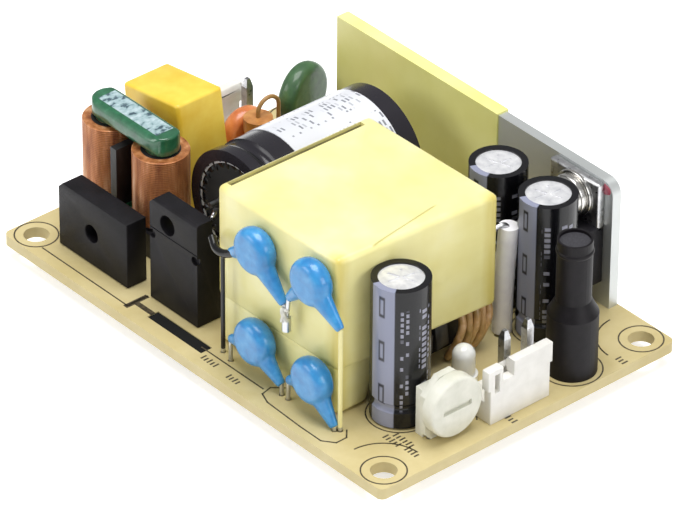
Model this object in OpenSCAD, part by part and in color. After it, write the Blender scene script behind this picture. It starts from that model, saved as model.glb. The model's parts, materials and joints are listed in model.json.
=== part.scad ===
// Open frame power supply: mains input at one end, direct-current output at the other,
// on a single-sided board with four mounting holes. Millimetres. The origin is the centre
// of the hole pattern on the board's underside, X runs along the board from the input
// connector to the output connector, and the heatsink stands on the +Y edge.

/* [Board] */
// Length of the circuit board
board_l = 76.2; // [76.2:0.1:90]
// Width of the circuit board
board_w = 50.8; // [50.8:0.1:60]
// Thickness of the circuit board
board_t = 1.6; // [1.2:0.1:2.4]
// Radius of the board's corners
board_corner_r = 1; // [0.4:0.1:2.5]
// Distance from the board's edges to the mounting holes' centres
hole_inset = 3.175; // [2.8:0.025:3.6]
// Diameter of the mounting holes
hole_d = 3.5; // [2.6:0.1:3.6]
// Length of the isolation slot
slot_l = 10.9; // [5:0.1:12]
// Width of the isolation slot
slot_w = 1.9; // [1:0.1:2.2]

/* [Soldering] */
// Length of the leads below the board
lead_out = 2; // [1.4:0.1:3]
// Height of a solder joint
solder_h = 1; // [0.5:0.1:1.2]
// Spread of a solder joint beyond its lead
solder_spread = 0.6; // [0.4:0.05:0.8]
// Play between a lead and its hole
lead_play = 0.1; // [0.05:0.01:0.15]
// Height of a capacitor or a coil above the board
standoff = 0.3; // [0.1:0.05:0.6]

/* [Heatsink] */
// Length of the heatsink plate
hs_l = 54; // [48:0.5:54]
// Height of the heatsink plate above the board
hs_h = 19.3; // [18:0.1:24]
// Thickness of the heatsink plate
hs_t = 1.5; // [1.2:0.1:2]
// Radius of the heatsink's top corners
hs_corner_r = 2; // [0.5:0.1:4]
// Distance from the board's edge to the heatsink
hs_edge = 0.2; // [0:0.05:0.4]
// Width of a heatsink foot
foot_w = 3; // [2:0.1:5]
// Thickness of a heatsink foot
foot_t = 0.8; // [0.5:0.05:1]
// Length of the insulating sheet
sheet_l = 32; // [24:0.5:36]
// Thickness of the insulating sheet
sheet_t = 0.25; // [0.1:0.05:0.4]
// Depth of the sheet's fold behind the heatsink
sheet_fold = 4; // [2:0.5:8]

/* [Output rectifier] */
// Width of the rectifier's body
rect_w = 10; // [9:0.1:10.4]
// Height of the rectifier's body
rect_h = 15.4; // [13:0.1:15.8]
// Thickness of the body at its leads
rect_t = 4.4; // [3.6:0.1:4.6]
// Thickness of the body round its screw
rect_flange_t = 2.8; // [2:0.1:3.2]
// Diameter of the screw
screw_d = 3; // [2.5:0.1:3.2]
// Diameter of the screw's head
screw_head_d = 5.6; // [5:0.1:6]
// Height of the screw's head
screw_head_h = 2; // [1.2:0.1:2.4]

/* [Transformer] */
// Length of the taped transformer along the board
tr_l = 22.8; // [20:0.1:22.8]
// Width of the taped transformer
tr_w = 24.8; // [22:0.1:25]
// Height of the taped transformer above the board
tr_h = 23.9; // [22:0.1:26]
// Radius of the tape's upright corners
tr_corner_r = 2; // [1:0.1:4]
// Thickness of the tape
tape_t = 0.4; // [0.2:0.05:0.6]
// Height of the tape's lower edge above the board
tape_lift = 6.9; // [5:0.1:8]
// Thickness of the core across the board
core_t = 7.4; // [6:0.1:10]
// Thickness of the core's back and outer legs
core_leg = 3.4; // [2.8:0.1:3.8]
// Air gap between the core's halves
core_gap = 0.2; // [0.05:0.05:0.4]
// Wall of the bobbin
bobbin_wall = 0.9; // [0.6:0.05:1.2]
// Diameter of the transformer's pins
tr_pin_d = 0.8; // [0.6:0.05:1]
// Distance between the transformer's pins
tr_pin_pitch = 5; // [4:0.1:5.2]

/* [Line choke] */
// Distance between the choke's coils
ck_pitch = 10.3; // [9.8:0.1:10.4]
// Diameter of a choke coil
ck_coil_d = 7.8; // [7:0.1:7.8]
// Height of a choke coil
ck_coil_h = 10.4; // [9:0.1:12]
// Diameter of the round legs of the choke's core
ck_leg_d = 4; // [3:0.1:4.4]
// Length of the core's bars
ck_bar_l = 15.5; // [15:0.1:16.4]
// Width of the core's bars
ck_bar_w = 4.9; // [4.6:0.1:5.4]
// Height of the core's bars
ck_bar_h = 2.9; // [2.2:0.1:3.4]
// Chamfer along the core's bars
ck_chamfer = 0.7; // [0.2:0.05:1]

/* [Line capacitor] */
// Length of the line capacitor
xc_l = 11.6; // [10:0.1:11.8]
// Width of the line capacitor
xc_w = 7.8; // [6:0.1:7.8]
// Height of the line capacitor
xc_h = 15.6; // [12:0.1:16]
// Angle by which the line capacitor leans
xc_lean = 8.4; // [0:0.2:9]
// Distance between the line capacitor's leads
xc_pitch = 7.5; // [5:0.5:9]

/* [Bulk capacitor] */
// Diameter of the bulk capacitor
bc_d = 18; // [14:0.1:18]
// Length of the bulk capacitor
bc_l = 25; // [20:0.1:28]
// Thickness of a capacitor's sleeve
sleeve_t = 0.2; // [0.1:0.05:0.3]
// Length of the printed label
label_l = 14.9; // [10:0.1:16]
// Distance between the bulk capacitor's leads
bc_pitch = 7.5; // [5:0.1:8]

/* [Output capacitors] */
// Diameter of an output capacitor
oc_d = 7.8; // [6.3:0.1:8]
// Height of an output capacitor
oc_h = 20.8; // [16:0.1:24]
// Distance between an output capacitor's leads
oc_pitch = 3.5; // [2.5:0.1:4]

/* [Safety capacitors] */
// Diameter of a safety capacitor
yc_d = 6.6; // [6:0.1:7]
// Thickness of a safety capacitor
yc_t = 3; // [2.2:0.1:3]
// Diameter of a coated leg's end
yc_leg_d = 1.2; // [0.8:0.1:1.4]
// Diameter of the thin leads
thin_lead_d = 0.6; // [0.4:0.05:0.7]

/* [Small parts] */
// Diameter of the inrush thermistor
th_d = 9.4; // [8:0.1:9.4]
// Thickness of the inrush thermistor
th_t = 2.8; // [2:0.1:3.2]
// Diameter of the surge absorber
va_d = 7.4; // [6:0.1:7.6]
// Thickness of the surge absorber
va_t = 2.6; // [2:0.1:2.7]
// Diameter of the upright fuse
fu_d = 4; // [3:0.1:4.2]
// Height of the upright fuse
fu_h = 9.4; // [8:0.1:11]
// Length of the rectifier bridge
br_l = 14.2; // [13.6:0.1:14.6]
// Height of the rectifier bridge
br_h = 9.9; // [9:0.1:11.6]
// Thickness of the rectifier bridge
br_t = 3.3; // [2.8:0.1:3.6]
// Width of the power transistor
qt_w = 9.6; // [9:0.1:10]
// Height of the power transistor
qt_h = 15.8; // [14:0.1:16.4]
// Thickness of the power transistor at its leads
qt_t = 4.2; // [3.4:0.1:4.6]
// Thickness of the power transistor round its hole
qt_flange_t = 2.6; // [2:0.1:3]
// Diameter of the rod choke
rc_d = 6.8; // [6:0.1:7.2]
// Diameter of the rod choke's neck
rc_neck_d = 4.7; // [4:0.1:5.2]
// Height of the rod choke
rc_h = 20.1; // [16:0.1:22]
// Diameter of the trimmer's rotor
tm_d = 8.6; // [7:0.1:8.6]
// Thickness of the trimmer's rotor
tm_t = 2; // [1.4:0.1:2.2]
// Diameter of the indicator's lens
led_d = 3.1; // [2.8:0.1:3.2]

/* [Connectors] */
// Distance between the connector's pins
cn_pitch = 3.96; // [3.6:0.02:4]
// Width of a square connector pin
cn_pin_w = 1.14; // [0.8:0.02:1.2]
// Depth of a connector's base
cn_base_d = 5.8; // [5:0.1:6.4]
// Height of a connector's base
cn_base_h = 3; // [2.5:0.1:4]
// Height of a connector's wall above the board
cn_wall_h = 8.2; // [7:0.1:10]
// Thickness of a connector's wall
cn_wall_t = 1.3; // [0.9:0.1:1.6]
// Height of the connector's pins above the board
cn_pin_h = 10.8; // [9:0.1:12]

/* [Hidden] */

top = board_t;
edge_x = board_l/2;
edge_y = board_w/2;
gap = 0.3;
fine = 0.1;

// Heatsink: inner face and the rectifier on it
hs_y1 = edge_y - hs_edge;
hs_y0 = hs_y1 - hs_t;
hs_x = 0.2;
hs_top = top + hs_h;
foot_x = [hs_x - hs_l/2 + 6, hs_x + hs_l/2 - 6];
foot_y = (hs_y0 + hs_y1)/2;
sheet_x0 = hs_x - hs_l/2;
rect_x = 21.5;
rect_top = hs_top - 0.3;
rect_z0 = rect_top - rect_h;
screw_z = rect_top - 3;
rect_lead_y = hs_y0 - 2.4;
rect_step = rect_h - 6.2;
rect_pins = [for (i = [-1, 0, 1]) [rect_x + i*2.54, rect_lead_y, 0.95]];

// Transformer, placed by its -X side and its centre line
tr_x0 = 0;
tr_x = tr_x0 + tr_l/2;
tr_y = -6.5;
tr_y0 = tr_y - tr_w/2;
tr_y1 = tr_y + tr_w/2;
tr_top = top + tr_h;
core_l = tr_l - 2*tape_t - 2*fine;
core_z1 = tr_top - tape_t;
core_z0 = top + 2.6;
core_h = core_z1 - core_z0;
core_mid_w = 2*core_leg - 0.4;
rc_wall = 0.3;
rc_wind_h = 9;
bob_in = core_mid_w/2 + fine;
bob_out = bob_in + bobbin_wall;
bob_x = core_l/2 - core_leg - fine;
bob_y = tr_w/2 - tape_t - fine;
flange_z0 = core_z0 + core_leg + fine;
flange_z1 = core_z1 - core_leg - fine;
wind_y = bob_y - 0.3;
tr_pin_y = bob_y - 1.8;
tr_pins = [for (i = [-1.5, -0.5, 0.5, 1.5], s = [-1, 1])
    [tr_x + i*tr_pin_pitch, tr_y + s*tr_pin_y, tr_pin_d]];

// Line choke, placed from the board's input edge
ck_x = -edge_x + 9.75;
ck_y = -10.3;
ck_tray_h = ck_bar_h + 0.8;
ck_flange_t = 0.4;
ck_coil_z0 = top + ck_tray_h + ck_flange_t;
ck_coil_z1 = ck_coil_z0 + ck_coil_h;
ck_bore_d = ck_leg_d + 2*fine;
ck_tube_d = ck_bore_d + 1.2;
ck_wire_in = ck_tube_d + 2*0.05;
ck_tray_l = ck_pitch + ck_coil_d;
ck_tray_w = ck_coil_d + 0.4;
ck_pins = [for (i = [-1, 1], s = [-1, 1]) [ck_x + i*ck_pitch/2, ck_y + s*(ck_bar_w/2 + 0.75), 0.7]];

// Line capacitor, standing on its -X bottom edge
xc_x0 = -edge_x + 2.6;
xc_y = -1.0;
xc_pins = [for (s = [-1, 1])
    [xc_x0 + (xc_l/2 + s*xc_pitch/2)*cos(xc_lean), xc_y + s*1.2, 0.7]];

// Bulk capacitor, lying along Y
bc_x = -10.85;
bc_y0 = -7.9;
bc_r = bc_d/2;
bc_z = top + standoff + bc_r;
bung_r = bc_r - 1.9;
bc_lead_y = bc_y0 - 2.4;
bc_pins = [for (s = [-1, 1]) [bc_x + s*bc_pitch/2, bc_lead_y, 0.8]];

// Output capacitors: one beside the transformer, two before the heatsink
oc_r = oc_d/2;
oc_at = [[tr_x0 + tr_l + 0.2 + oc_r, -12.5],
    [rect_x - 2.2 - oc_r, hs_y0 - rect_t - 1.0 - oc_r],
    [rect_x - 0.5 + oc_r, hs_y0 - rect_t - 1.0 - oc_r]];
oc_dir = [[0, 1], [1, 0], [1, 0]];
function oc_pins(i) = [for (s = [-1, 1])
    [oc_at[i][0] + s*oc_dir[i][0]*oc_pitch/2, oc_at[i][1] + s*oc_dir[i][1]*oc_pitch/2, thin_lead_d]];

// Flying lead of the transformer, between its tape and the output capacitors
fly_d = 2.4;
fly_bend = 2.6;
fly_turn = 33;
fly_x = tr_x0 + tr_l - 0.6;
fly_y = tr_y1 + 0.62*(oc_at[2][1] - oc_r - tr_y1);
fly_rise = top + 0.47*tr_h;
fly_pin = [[fly_x, fly_y, 0.9]];

// Safety capacitors before the transformer: centre and leg ends in X and Z, and plane
yc_plane_hi = tr_y0 - 0.4 - yc_t/2;
yc_plane_lo = tr_y0 - 0.9 - yc_t/2;
yc_hi_z = top + 19.0;
yc_lo_z = top + 5.4;
yc_join_z = yc_hi_z - 7.4;
yc_1 = [[8.3, yc_hi_z], [14.0, yc_hi_z - 5.3], [3.4, yc_hi_z - 2.7]];
yc_2 = [[19.2, yc_hi_z + 0.9], [14.9, yc_hi_z - 3.8], [24.9, yc_hi_z - 3.5]];
yc_3 = [[8.8, yc_lo_z], [14.1, top + 1.5], [4.0, yc_lo_z - 2.0]];
yc_4 = [[20.0, yc_lo_z], [15.4, yc_lo_z - 2.4], [24.4, top + 0.5]];
yc_pins = [[1.9, yc_plane_hi, thin_lead_d], [24.9, yc_plane_hi, thin_lead_d],
    [yc_3[1][0], yc_plane_lo, thin_lead_d], [yc_3[2][0], yc_plane_lo, thin_lead_d],
    [yc_4[1][0], yc_plane_lo, thin_lead_d], [yc_4[2][0], yc_plane_lo, thin_lead_d]];

// Input side small parts
th_at = [-29.5, 19.7];
th_turn = 15;
th_z = top + 7.4;
th_pins = [for (s = [-1, 1])
    [th_at[0] - s*2.5*sin(th_turn), th_at[1] + s*2.5*cos(th_turn), thin_lead_d]];
va_at = [-29.9, 9.8];
va_z = top + 5.4;
va_pins = [for (s = [-1, 1]) [va_at[0], va_at[1] + s*2.5, thin_lead_d]];
fu_at = [va_at[0] + va_t/2 + gap + fu_d/2, 9.1];
fu_bend = 1.8;
fu_pins = [[fu_at[0], fu_at[1], thin_lead_d], [fu_at[0], fu_at[1] + 2*fu_bend, thin_lead_d]];
br_x = -24.2;
br_y0 = -21.2;
br_pins = [for (i = [-1.5, -0.5, 0.5, 1.5]) [br_x + i*3.81, br_y0 + br_t/2, 0.95]];
qt_x = -9.0;
qt_y0 = -20.0;
qt_pins = [for (i = [-1, 0, 1]) [qt_x + i*2.54, qt_y0 + qt_flange_t - 0.5, 0.95]];
slot_x = -5.1;
slot_y = -22.3;

// Output side small parts, placed from the board's output edge
rc_at = [edge_x - 4.3, 10.9];
rc_pins = [for (s = [-1, 1]) [rc_at[0], rc_at[1] + s*1.3, thin_lead_d]];
tm_face = edge_x - 2.2;
tm_y = -10.7;
tm_z = top + 0.5 + tm_d/2;
tm_back = tm_face - tm_t - fine;
tm_plate_t = 1.1;
tm_base_t = 1.3;
tm_hub_r = 1.4;
tm_collar_r = 2;
tm_pins = [for (s = [-1, 0, 1]) [tm_back - 0.45 - (s == 0 ? 1.2 : 0), tm_y + s*2.5, thin_lead_d]];
led_at = [26.6, -1.3];
led_pins = [for (s = [-1, 1]) [led_at[0], led_at[1] + s*1.27, thin_lead_d]];

// Connectors: the wall stands along the board's edge
cn_w = 2*cn_pitch + 3.1;
cn_pin_x = edge_x - 4.8;
in_wall_x = edge_x - 0.6;
out_wall_x = edge_x - 1.6;
in_y = 9.15;
out_y = -0.5;
in_pins = [for (s = [-1, 1]) [-cn_pin_x, in_y + s*cn_pitch, cn_pin_w*sqrt(2)]];
out_pins = [for (s = [0, 1]) [cn_pin_x, out_y + s*cn_pitch, cn_pin_w*sqrt(2)]];

all_pins = concat(rect_pins, tr_pins, fly_pin, ck_pins, xc_pins, bc_pins, oc_pins(0),
    oc_pins(1), oc_pins(2), yc_pins, th_pins, va_pins, fu_pins, br_pins, qt_pins,
    rc_pins, tm_pins, led_pins, in_pins, out_pins);

// ---- shared shapes ----

// Rectangle with round corners, centred
module rrect(l, w, r) {
    square([l - 2*r, w], center = true);
    square([l, w - 2*r], center = true);
    for (x = [-1, 1], y = [-1, 1])
        translate([x*(l/2 - r), y*(w/2 - r)]) circle(r = r, $fn = 32);
}

// Round upright lead from below the board to height z
module lead(p, z) {
    translate([p[0], p[1], -lead_out]) cylinder(h = z + lead_out, d = p[2], $fn = 24);
}

// Flat lead of the same diagonal
module flat_lead(p, z) {
    translate([p[0] - 0.4, p[1] - 0.25, -lead_out]) cube([0.8, 0.5, z + lead_out]);
}

// Rod between two points in one X-Z plane
module rod_xz(a, b, y, d) {
    dx = b[0] - a[0];
    dz = b[1] - a[1];
    translate([a[0], y, a[1]]) rotate([0, atan2(dx, dz), 0])
        cylinder(h = norm([dx, dz]), d = d, $fn = 24);
}

// Disc with a rounded rim, axis Z
module pill_disc(d, t, r) {
    rotate_extrude($fn = 64) {
        square([d/2 - r, t/2]);
        translate([0, -t/2]) square([d/2 - r, t/2]);
        intersection() {
            translate([d/2 - r, 0]) scale([1, t/2/r]) circle(r = r, $fn = 32);
            translate([0, -t]) square([d, 2*t]);
        }
    }
}

// ---- board ----

module board() {
    color([0.85, 0.78, 0.58]) difference() {
        linear_extrude(board_t) rrect(board_l, board_w, board_corner_r);
        for (x = [-1, 1], y = [-1, 1])
            translate([x*(edge_x - hole_inset), y*(edge_y - hole_inset), -1])
                cylinder(h = board_t + 2, d = hole_d, $fn = 48);
        translate([slot_x - slot_l/2, slot_y - slot_w/2, -1]) cube([slot_l, slot_w, board_t + 2]);
        for (p = all_pins)
            translate([p[0], p[1], -1])
                cylinder(h = board_t + 2, d = p[2] + 2*lead_play, $fn = 24);
        for (x = foot_x)
            translate([x - foot_w/2 - lead_play, foot_y - foot_t/2 - lead_play, -1])
                cube([foot_w + 2*lead_play, foot_t + 2*lead_play, board_t + 2]);
    }
}

module solder_joints() {
    color([0.75, 0.76, 0.78]) difference() {
        for (p = all_pins)
            translate([p[0], p[1], -solder_h])
                cylinder(h = solder_h, r1 = p[2]/2 + lead_play + 0.15, r2 = p[2]/2 + solder_spread, $fn = 24);
        for (p = all_pins)
            translate([p[0], p[1], -solder_h - 1])
                cylinder(h = solder_h + 2, d = p[2] + 2*lead_play, $fn = 24);
    }
}

// ---- heatsink and output rectifier ----

module heatsink() {
    color([0.72, 0.73, 0.75]) difference() {
        union() {
            translate([hs_x, hs_y1, top]) rotate([90, 0, 0]) linear_extrude(hs_t) {
                translate([0, (hs_h - hs_corner_r)/2]) square([hs_l, hs_h - hs_corner_r], center = true);
                translate([0, hs_h/2]) square([hs_l - 2*hs_corner_r, hs_h], center = true);
                for (s = [-1, 1])
                    translate([s*(hs_l/2 - hs_corner_r), hs_h - hs_corner_r])
                        circle(r = hs_corner_r, $fn = 48);
            }
            for (x = foot_x)
                translate([x - foot_w/2, foot_y - foot_t/2, -lead_out])
                    cube([foot_w, foot_t, top + lead_out + 0.5]);
        }
        translate([rect_x, hs_y1 + 1, screw_z]) rotate([90, 0, 0])
            cylinder(h = hs_t + 2, d = screw_d + 0.1, $fn = 32);
    }
}

module insulating_sheet() {
    y0 = hs_y0 - sheet_t;
    z1 = hs_top + sheet_t;
    color([0.93, 0.92, 0.55]) difference() {
        translate([sheet_x0, y0, top]) cube([sheet_l, hs_t + 2*sheet_t, hs_h + sheet_t]);
        translate([sheet_x0 - 1, hs_y0, top - 1]) cube([sheet_l + 2, hs_t, hs_h + 1]);
        translate([sheet_x0 - 1, hs_y1 - 0.01, top - 1])
            cube([sheet_l + 2, sheet_t + 1, hs_h - sheet_fold + 1]);
    }
}

module rectifier_body() {
    color([0.08, 0.08, 0.09]) difference() {
        translate([rect_x - rect_w/2, hs_y0, rect_z0]) rotate([90, 0, 90]) linear_extrude(rect_w)
            polygon([[0, 0], [0, rect_h], [-rect_flange_t + 0.3, rect_h], [-rect_flange_t, rect_h - 0.3],
                [-rect_flange_t, rect_step], [-rect_t + 0.3, rect_step - 0.5],
                [-rect_t, rect_step - 0.8], [-rect_t, 0.3],
                [-rect_t + 0.3, 0]]);
        translate([rect_x, hs_y0 + 1, screw_z]) rotate([90, 0, 0])
            cylinder(h = rect_t + 2, d = screw_d + 0.4, $fn = 32);
    }
}

module rectifier_leads() {
    color([0.78, 0.78, 0.8]) for (p = rect_pins) flat_lead(p, rect_z0);
}

module rectifier_screw() {
    head_y = hs_y0 - rect_flange_t;
    color([0.8, 0.8, 0.82]) difference() {
        translate([rect_x, head_y, screw_z]) rotate([90, 0, 0]) {
            rotate_extrude($fn = 48) {
                square([screw_head_d/2, screw_head_h - 0.6]);
                square([screw_head_d/2 - 0.6, screw_head_h]);
                translate([screw_head_d/2 - 0.6, screw_head_h - 0.6]) circle(r = 0.6, $fn = 32);
            }
            translate([0, 0, -rect_flange_t - hs_t])
                cylinder(h = rect_flange_t + hs_t, d = screw_d, $fn = 32);
        }
        for (a = [0, 90])
            translate([rect_x, head_y - screw_head_h, screw_z]) rotate([0, a, 0])
                cube([screw_head_d*0.62, 2, 0.7], center = true);
    }
}

// ---- transformer ----

// One E-shaped core half, back down, legs up to height h
module core_half(h) {
    translate([0, core_t/2, 0]) rotate([90, 0, 0]) linear_extrude(core_t) {
        translate([-core_l/2, 0]) square([core_l, core_leg]);
        for (s = [-1, 1])
            translate([s*(core_l - core_leg)/2 - core_leg/2, 0]) square([core_leg, h]);
        translate([-core_mid_w/2, 0]) square([core_mid_w, h]);
    }
}

module transformer_core() {
    half = (core_h - core_gap)/2;
    color([0.16, 0.16, 0.17]) translate([tr_x, tr_y, 0]) {
        translate([0, 0, core_z0]) core_half(half);
        translate([0, 0, core_z1]) mirror([0, 0, 1]) core_half(half);
    }
}

module transformer_bobbin() {
    color([0.1, 0.1, 0.1]) translate([tr_x, tr_y, 0]) difference() {
        union() {
            for (z = [flange_z0, flange_z1 - bobbin_wall])
                translate([0, 0, z]) linear_extrude(bobbin_wall) rrect(2*bob_x, 2*bob_y, 1);
            translate([-bob_out, -core_t/2 - fine - bobbin_wall, flange_z0])
                cube([2*bob_out, core_t + 2*fine + 2*bobbin_wall, flange_z1 - flange_z0]);
            for (s = [-1, 1])
                translate([-bob_x - 1, s*(bob_y + core_t/2 + fine)/2 - (bob_y - core_t/2 - fine)/2, top])
                    cube([2*bob_x + 2, bob_y - core_t/2 - fine, flange_z0 + bobbin_wall - top]);
        }
        translate([-bob_in, -core_t/2 - fine, flange_z0 - 1])
            cube([2*bob_in, core_t + 2*fine, flange_z1 - flange_z0 + 2]);
        for (s = [-1, 1], i = [-2, -1, 0, 1, 2])
            translate([i*tr_pin_pitch - 0.6, s*bob_y - 1, top + 1.4])
                cube([1.2, 2, flange_z0 + 2 - top]);
        for (p = tr_pins)
            translate([p[0] - tr_x, p[1] - tr_y, top - 1]) cylinder(h = 4, d = p[2] + 0.05, $fn = 24);
    }
}

module transformer_winding() {
    z0 = flange_z0 + bobbin_wall;
    z1 = flange_z1 - bobbin_wall;
    color([0.8, 0.55, 0.3]) translate([tr_x, tr_y, z0]) linear_extrude(z1 - z0) difference() {
        rrect(2*(bob_x - 0.4), 2*wind_y, 2.5);
        square([2*bob_out + 0.1, core_t + 2*fine + 2*bobbin_wall + 0.1], center = true);
    }
}

module transformer_wrap() {
    skirt_z = top + tape_lift;
    color([0.96, 0.93, 0.62]) difference() {
        union() {
            translate([tr_x, tr_y, skirt_z]) linear_extrude(tr_top - skirt_z) difference() {
                rrect(tr_l, tr_w, tr_corner_r);
                rrect(tr_l - 2*tape_t, tr_w - 2*tape_t, tr_corner_r - tape_t);
            }
            intersection() {
                translate([tr_x, tr_y, top + 0.3]) linear_extrude(tape_lift) difference() {
                    rrect(tr_l, tr_w, tr_corner_r);
                    rrect(tr_l - 2*tape_t, tr_w - 2*tape_t, tr_corner_r - tape_t);
                }
                translate([tr_x0 - 1, tr_y0, 0]) rotate([90, 0, 90]) linear_extrude(tr_l + 2)
                    polygon([[-1, top], [4.6, top], [8.6, skirt_z + 0.5], [-1, skirt_z + 0.5]]);
            }
            translate([tr_x, tr_y, tr_top - tape_t]) linear_extrude(tape_t)
                rrect(tr_l, tr_w, tr_corner_r);
        }
        translate([tr_x0 + tape_t, tr_y0 + 2.4, tr_top - tape_t - 0.1])
            cube([0.9, tr_w - 4.8, tape_t + 1]);
    }
}

module transformer_pins() {
    color([0.78, 0.78, 0.8]) for (p = tr_pins) lead(p, top + 3);
}

// Sleeved wire that rises from the board and bends under the tape's side
module transformer_flying_lead() {
    color([0.93, 0.92, 0.95]) {
        lead(fly_pin[0], top);
        difference() {
            translate([fly_x, fly_y, 0]) rotate([0, 0, 180 + fly_turn]) {
                translate([0, 0, top]) cylinder(h = fly_rise - top, d = fly_d, $fn = 32);
                translate([0, fly_bend, fly_rise]) rotate([90, 0, -90])
                    rotate_extrude(angle = 90, $fn = 48) translate([fly_bend, 0]) circle(d = fly_d, $fn = 32);
                translate([0, fly_bend, fly_rise + fly_bend]) rotate([-90, 0, 0])
                    cylinder(h = 5, d = fly_d, $fn = 32);
            }
            translate([tr_x0 - 10, tr_y - tr_w/2, top]) cube([tr_l + 20, tr_w + 0.1, tr_h]);
        }
    }
}

// ---- line choke ----

module choke_core() {
    z0 = top + 0.8;
    z1 = ck_coil_z1 + 0.05;
    color([0.15, 0.45, 0.3]) translate([ck_x, ck_y, 0]) {
        for (z = [z0, z1]) translate([0, 0, z]) intersection() {
            linear_extrude(ck_bar_h) rrect(ck_bar_l, ck_bar_w, ck_bar_w/2 - 0.05);
            translate([-ck_bar_l/2 - 1, 0, 0]) rotate([90, 0, 90]) linear_extrude(ck_bar_l + 2)
                polygon([[-ck_bar_w/2, ck_chamfer], [-ck_bar_w/2 + ck_chamfer, 0],
                    [ck_bar_w/2 - ck_chamfer, 0], [ck_bar_w/2, ck_chamfer],
                    [ck_bar_w/2, ck_bar_h - ck_chamfer], [ck_bar_w/2 - ck_chamfer, ck_bar_h],
                    [-ck_bar_w/2 + ck_chamfer, ck_bar_h], [-ck_bar_w/2, ck_bar_h - ck_chamfer]]);
        }
        for (s = [-1, 1]) translate([s*ck_pitch/2, 0, z0 + ck_bar_h/2])
            cylinder(h = z1 - z0, d = ck_leg_d, $fn = 48);
    }
}

module choke_bobbin() {
    color([0.1, 0.1, 0.1]) translate([ck_x, ck_y, 0]) difference() {
        union() {
            translate([0, 0, top]) linear_extrude(ck_tray_h) rrect(ck_tray_l, ck_tray_w, 1);
            for (s = [-1, 1]) translate([s*ck_pitch/2, 0, top + ck_tray_h - 0.1]) {
                cylinder(h = ck_flange_t + 0.1, d = ck_coil_d, $fn = 64);
                cylinder(h = ck_flange_t + ck_coil_h + 0.1, d = ck_tube_d, $fn = 48);
            }
            translate([-0.6, -ck_coil_d/2, top + ck_tray_h - 0.1])
                cube([1.2, ck_coil_d, ck_flange_t + ck_coil_h - 0.9]);
        }
        translate([0, 0, top + 0.75]) linear_extrude(ck_tray_h)
            rrect(ck_bar_l + 2*fine, ck_bar_w + 2*fine, ck_bar_w/2);
        for (s = [-1, 1]) translate([s*ck_pitch/2, 0, top + 1])
            cylinder(h = ck_tray_h + ck_flange_t + ck_coil_h, d = ck_bore_d, $fn = 48);
        for (p = ck_pins)
            translate([p[0] - ck_x, p[1] - ck_y, top - 1]) cylinder(h = 3, d = p[2] + 0.05, $fn = 24);
    }
}

module choke_coils() {
    color([0.72, 0.4, 0.25]) for (s = [-1, 1])
        translate([ck_x + s*ck_pitch/2, ck_y, ck_coil_z0]) difference() {
            cylinder(h = ck_coil_h, d = ck_coil_d, $fn = 64);
            translate([0, 0, -1]) cylinder(h = ck_coil_h + 2, d = ck_wire_in, $fn = 48);
        }
}

module choke_pins() {
    color([0.78, 0.78, 0.8]) for (p = ck_pins) lead(p, top + 2);
}

// ---- line capacitor ----

module xc_block() {
    translate([xc_x0, xc_y, top]) rotate([0, -xc_lean, 0]) translate([xc_l/2, 0, 0])
        linear_extrude(xc_h) rrect(xc_l, xc_w, 0.6);
}

module line_capacitor_case() {
    color([0.95, 0.78, 0.15]) xc_block();
}

module line_capacitor_leads() {
    color([0.78, 0.78, 0.8]) for (p = xc_pins) difference() {
        lead(p, top + xc_l*sin(xc_lean) + 1);
        xc_block();
        translate([p[0] - 2, p[1] - 2, top + (p[0] - xc_x0)*tan(xc_lean) + 0.3]) cube([4, 4, 9]);
    }
}

// ---- bulk capacitor ----

// Half profile of a can, radius against length, with its rolled bead; inset gives its inside
module can_profile(r, l, bead, inset = 0) {
    difference() {
        square([r - inset, l - 2*inset]);
        translate([r + 0.5, 2.9 - inset]) circle(r = bead + 0.5 + inset, $fn = 32);
    }
}

module bulk_capacitor_can() {
    color([0.75, 0.76, 0.78]) translate([bc_x, bc_y0 + sleeve_t, bc_z]) rotate([-90, 0, 0])
        difference() {
            rotate_extrude($fn = 96) can_profile(bc_r, bc_l, 0.8, sleeve_t);
            translate([0, 0, -1]) cylinder(h = 2.6, r = bung_r, $fn = 64);
        }
}

module bulk_capacitor_sleeve() {
    color([0.12, 0.12, 0.14]) translate([bc_x, bc_y0, bc_z]) rotate([-90, 0, 0])
        rotate_extrude($fn = 96) difference() {
            can_profile(bc_r, bc_l, 0.8);
            translate([0, sleeve_t]) can_profile(bc_r, bc_l, 0.8, sleeve_t);
            translate([-1, -1]) square([bung_r + 1.3, 2]);
            translate([-1, bc_l - 1]) square([bc_r - 1, 2]);
        }
}

module bulk_capacitor_label() {
    color([0.94, 0.94, 0.95]) translate([bc_x, bc_y0 + bc_l - 2.8 - label_l, bc_z])
        rotate([-90, 0, 0]) difference() {
            cylinder(h = label_l, r = bc_r + 0.1, $fn = 96);
            translate([0, 0, -1]) cylinder(h = label_l + 2, r = bc_r, $fn = 96);
        }
}

module bulk_capacitor_bung() {
    color([0.09, 0.09, 0.09]) translate([bc_x, bc_y0 + sleeve_t + 0.2, bc_z]) rotate([-90, 0, 0])
        difference() {
            cylinder(h = 1.4, r = bung_r, $fn = 64);
            for (s = [-1, 1]) translate([s*bc_pitch/2, 0, -1])
                cylinder(h = 4, d = bc_pins[0][2] + 0.05, $fn = 24);
        }
}

module bulk_capacitor_leads() {
    bend = 1.1;
    y1 = bc_y0 + sleeve_t + 1.6;
    color([0.78, 0.78, 0.8]) for (p = bc_pins) {
        lead(p, bc_z - bend);
        translate([p[0], p[1] + bend, bc_z - bend]) rotate([0, -90, 0]) rotate([0, 0, 90])
            rotate_extrude(angle = 90, $fn = 48) translate([bend, 0]) circle(d = p[2], $fn = 24);
        translate([p[0], p[1] + bend, bc_z]) rotate([-90, 0, 0])
            cylinder(h = y1 - p[1] - bend, d = p[2], $fn = 24);
    }
}

// ---- input side small parts ----

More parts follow.
